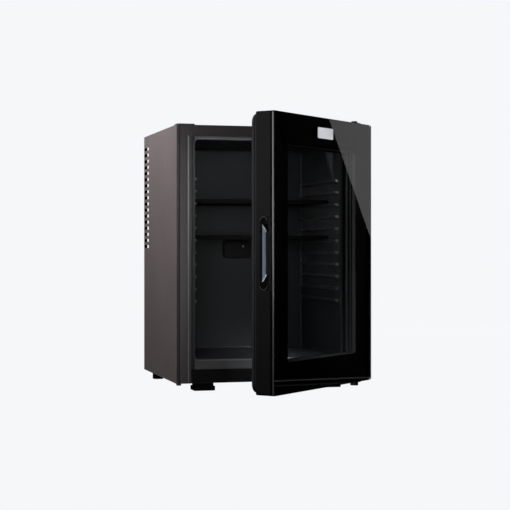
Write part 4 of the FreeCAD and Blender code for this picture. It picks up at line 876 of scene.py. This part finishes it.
def grip_lips(work):
    """Two horseshoe beads round the ends of the grip's dish."""
    for end in (1, -1):
        rings = []
        for part in range(LIP_STEPS + 1):
            angle = math.pi * part / LIP_STEPS
            ring = []
            for beside, proud in LIP_SECTION:
                reach = DISH_RADIUS + beside * LIP_WIDE
                across = GRIP_FACE - proud * LIP_PROUD
                back = DISH_MIDDLE + reach * math.cos(angle)
                height = GRIP_LEVEL + end * (DISH_HALF - DISH_RADIUS + reach * math.sin(angle))
                ring.append(work.verts.new(door_point(across, back, height)))
            rings.append(ring)
        close_rings(work, rings)


MITRE_LEG, MITRE_STEPS, MITRE_PLAY = 2.2 * MM, 4, 0.3 * MM


def grip_mitres(work):
    """Two rounded fillets in the corners where the recess's lit wall meets its end walls, pale as a painted
    highlight.
    """
    for end in (1, -1):
        rings = []
        for across, back, half in (
            (GRIP_FACE + MITRE_PLAY, GRIP_MOUTH_REAR, GRIP_MOUTH_HALF),
            (GRIP_FLOOR - MITRE_PLAY, GRIP_FLOOR_REAR, GRIP_FLOOR_HALF),
        ):
            ring = [work.verts.new(door_point(across, back, GRIP_LEVEL + end * half))]
            for part in range(MITRE_STEPS + 1):
                angle = math.pi / 2 * part / MITRE_STEPS
                forward = MITRE_LEG * (1 - math.cos(angle))
                inward = MITRE_LEG * (1 - math.sin(angle))
                place = door_point(across, back - forward, GRIP_LEVEL + end * (half - inward))
                ring.append(work.verts.new(place))
            rings.append(ring)
        close_rings(work, rings)


# Stage and lights

BACKDROP_COLOR = (0.914, 0.93, 0.948, 1)
FLOOR_HALF = 40


def add_stage(name, mesh_builder, material):
    """An object of the stage, which is no piece of the part."""
    stage = add_object(name, mesh_builder, material)
    return stage


def floor_material():
    """Pale floor, evenly bright, with a little of the lights' own shading."""
    material, shader, add, feed = new_material("floor")
    feed("Base Color", clouds(add, 3.0, 0.0015, 0.0022))
    set_values(shader, Roughness=0.9, Specular_IOR_Level=0.0)
    set_values(shader, Emission_Color=BACKDROP_COLOR, Emission_Strength=1.0)
    return material


def add_floor():
    """Plain pale floor that neither lights the object from below nor shows in its gloss."""
    def fill(work):
        bmesh.ops.create_grid(work, x_segments=2, y_segments=2, size=FLOOR_HALF)

    floor = add_stage("floor", fill, floor_material())
    floor.visible_glossy = False
    floor.visible_diffuse = False


def add_card(name, corners, strength):
    """A glowing card that shows only as a reflection in gloss."""
    material, _, add, _ = new_material(name)
    glow = add("ShaderNodeEmission", {"Color": (1, 1, 1, 1), "Strength": strength})
    show(material, glow.outputs[0])

    def fill(work):
        work.faces.new([work.verts.new(corner) for corner in corners])

    card = add_stage(name, fill, material)
    card.visible_camera = False
    card.visible_diffuse = False
    card.visible_shadow = False
    card.visible_transmission = False


# Card mirrored in the glass: pixels that its slanting edge crosses, how far it runs on past both
# of them as a share of their distance, its width in pixels, and the plane that it stands in.
CARD_EDGE_TOP, CARD_EDGE_LOW = (329, 119), (370.5, 238)
CARD_OVERSHOOT = 0.5
CARD_PIXELS_WIDE = 130
CARD_PLANE_X = 2.2
CARD_GLOW = 0.6


def add_wedge_card():
    """Tall card to the right, mirrored as a pale wedge in the top right of the door's glass."""
    slant = [low - top for top, low in zip(CARD_EDGE_TOP, CARD_EDGE_LOW)]
    high = [top - CARD_OVERSHOOT * run for top, run in zip(CARD_EDGE_TOP, slant)]
    low = [end + CARD_OVERSHOOT * run for end, run in zip(CARD_EDGE_LOW, slant)]
    right = low[0] + CARD_PIXELS_WIDE
    pixels = [high, low, (right, low[1]), (right, high[1])]
    corners = [mirrored_point(pixel, X_AXIS, CARD_PLANE_X) for pixel in pixels]
    add_card("wedge_card", corners, CARD_GLOW)


# Pixels along the light line that the glass mirrors from the floor, and half the line's width.
FLOOR_LINE = ((262, 381.6), (320, 379.1), (382, 377.0))
FLOOR_LINE_HALF = 0.7
FLOOR_LINE_GLOW = 0.16
FLOOR_LINE_HEIGHT = 1 * MM
# The second line lies this many pixels lower.
SECOND_LINE_LOWER, SECOND_LINE_GLOW = 5.0, 0.06


def add_floor_line(name, drop, glow):
    """Narrow strip on the floor to the right, mirrored as a thin line low in the glass."""
    upper = [(x, y + drop - FLOOR_LINE_HALF) for x, y in FLOOR_LINE]
    lower = [(x, y + drop + FLOOR_LINE_HALF) for x, y in reversed(FLOOR_LINE)]
    corners = [mirrored_point(pixel, Z_AXIS, FLOOR_LINE_HEIGHT) for pixel in upper + lower]
    add_card(name, corners, glow)


LABEL_PLACE = door_point(GLASS_MIDDLE, GLASS_FRONT, LABEL_LEVEL)
WIDE_BEAM = 180
# Each light's name, place, the point that it faces, its width and height, watts, and beam in degrees.
LIGHTS = (
    ("left_softbox", (-0.55, 0.07, 0.8), (-0.2, 0.07, 0.4), (0.45, 0.3), 5, WIDE_BEAM),
    ("left_fill", (-2.0, 0.6, 0.6), (-0.2, 0.0, 0.3), (0.8, 0.8), 7, WIDE_BEAM),
    ("gap_softbox", (-0.70, -1.55, 0.50), (-0.02, 0.05, 0.47), (0.3, 0.3), 0.36, 34),
    ("overhead_softbox", (-0.35, -0.75, 1.15), (-0.1, -0.2, 0.3), (0.4, 0.4), 3.2, WIDE_BEAM),
    ("door_edge_softbox", (-0.75, -0.581, 0.54), (-0.1, -0.46, 0.36), (0.3, 0.62), 1.8, WIDE_BEAM),
    ("front_softbox", (-0.45, -2.6, 0.75), (-0.1, 0.0, 0.4), (0.5, 0.5), 3, WIDE_BEAM),
    ("label_spot", (0.75, -1.3, 0.45), LABEL_PLACE, (0.15, 0.15), 0.13, 20),
    ("floor_bounce", (-0.35, -1.0, 0.03), (-0.05, 0.0, 0.5), (0.6, 0.4), 0.7, WIDE_BEAM),
    ("post_reflector", (0.25, -2.1, 0.29), (-0.19, -0.18, 0.28), (0.3, 0.3), 1.9, WIDE_BEAM),
    ("window_spot", (0.25, -1.6, 1.0), (0.11, -0.182, 0.055), (0.15, 0.15), 0.4, 12),
    ("rib_spot", (-1.2, -1.2, 0.45), (0.17, -0.02, 0.33), (0.1, 0.1), 0.06, 12),
    ("right_fill", (1.4, 2.1, 0.9), (0.1, 0.1, 0.3), (1.0, 1.0), 55, WIDE_BEAM),
    ("rear_softbox", (0.7, 2.0, 0.8), (0.0, 0.18, 0.3), (1.2, 1.0), 25, WIDE_BEAM),
)


def add_light(name, place, aim, size, watts, beam):
    """Rectangular soft light, unseen by the camera."""
    data = bpy.data.lights.new(name, "AREA")
    data.shape = "RECTANGLE"
    data.size, data.size_y = size
    data.energy = watts
    data.spread = math.radians(beam)
    light = bpy.data.objects.new(name, data)
    light.location = place
    light.rotation_euler = (Vector(aim) - Vector(place)).to_track_quat("-Z", "Y").to_euler()
    light.visible_camera = False
    bpy.context.scene.collection.objects.link(light)


def add_world():
    """Plain pale backdrop that neither lights the object nor shows in its gloss."""
    world = bpy.data.worlds.new("studio")
    bpy.context.scene.world = world
    world.use_nodes = True
    background = world.node_tree.nodes["Background"]
    background.inputs["Color"].default_value = BACKDROP_COLOR
    world.cycles_visibility.glossy = False
    world.cycles_visibility.diffuse = False


dress_cabinet()
dress_cooling_unit()
dress_door()
add_piece("bare_label", bare_label, label_plate(), "door")
add_piece("window_trim", window_trim, trim_plastic(), "door")
add_piece("mouth_bead", mouth_bead, bead_plastic(), "cabinet")
add_piece("grip_lips", grip_lips, lip_plastic(), "door")
add_piece("grip_mitres", grip_mitres, mitre_highlight(), "door")
add_floor()
add_world()
for light_row in LIGHTS:
    add_light(*light_row)
add_wedge_card()
add_floor_line("floor_line", 0, FLOOR_LINE_GLOW)
add_floor_line("second_line", SECOND_LINE_LOWER, SECOND_LINE_GLOW)
add_camera()
bpy.context.scene.view_settings.view_transform = "Standard"

bpy.context.view_layer.update()
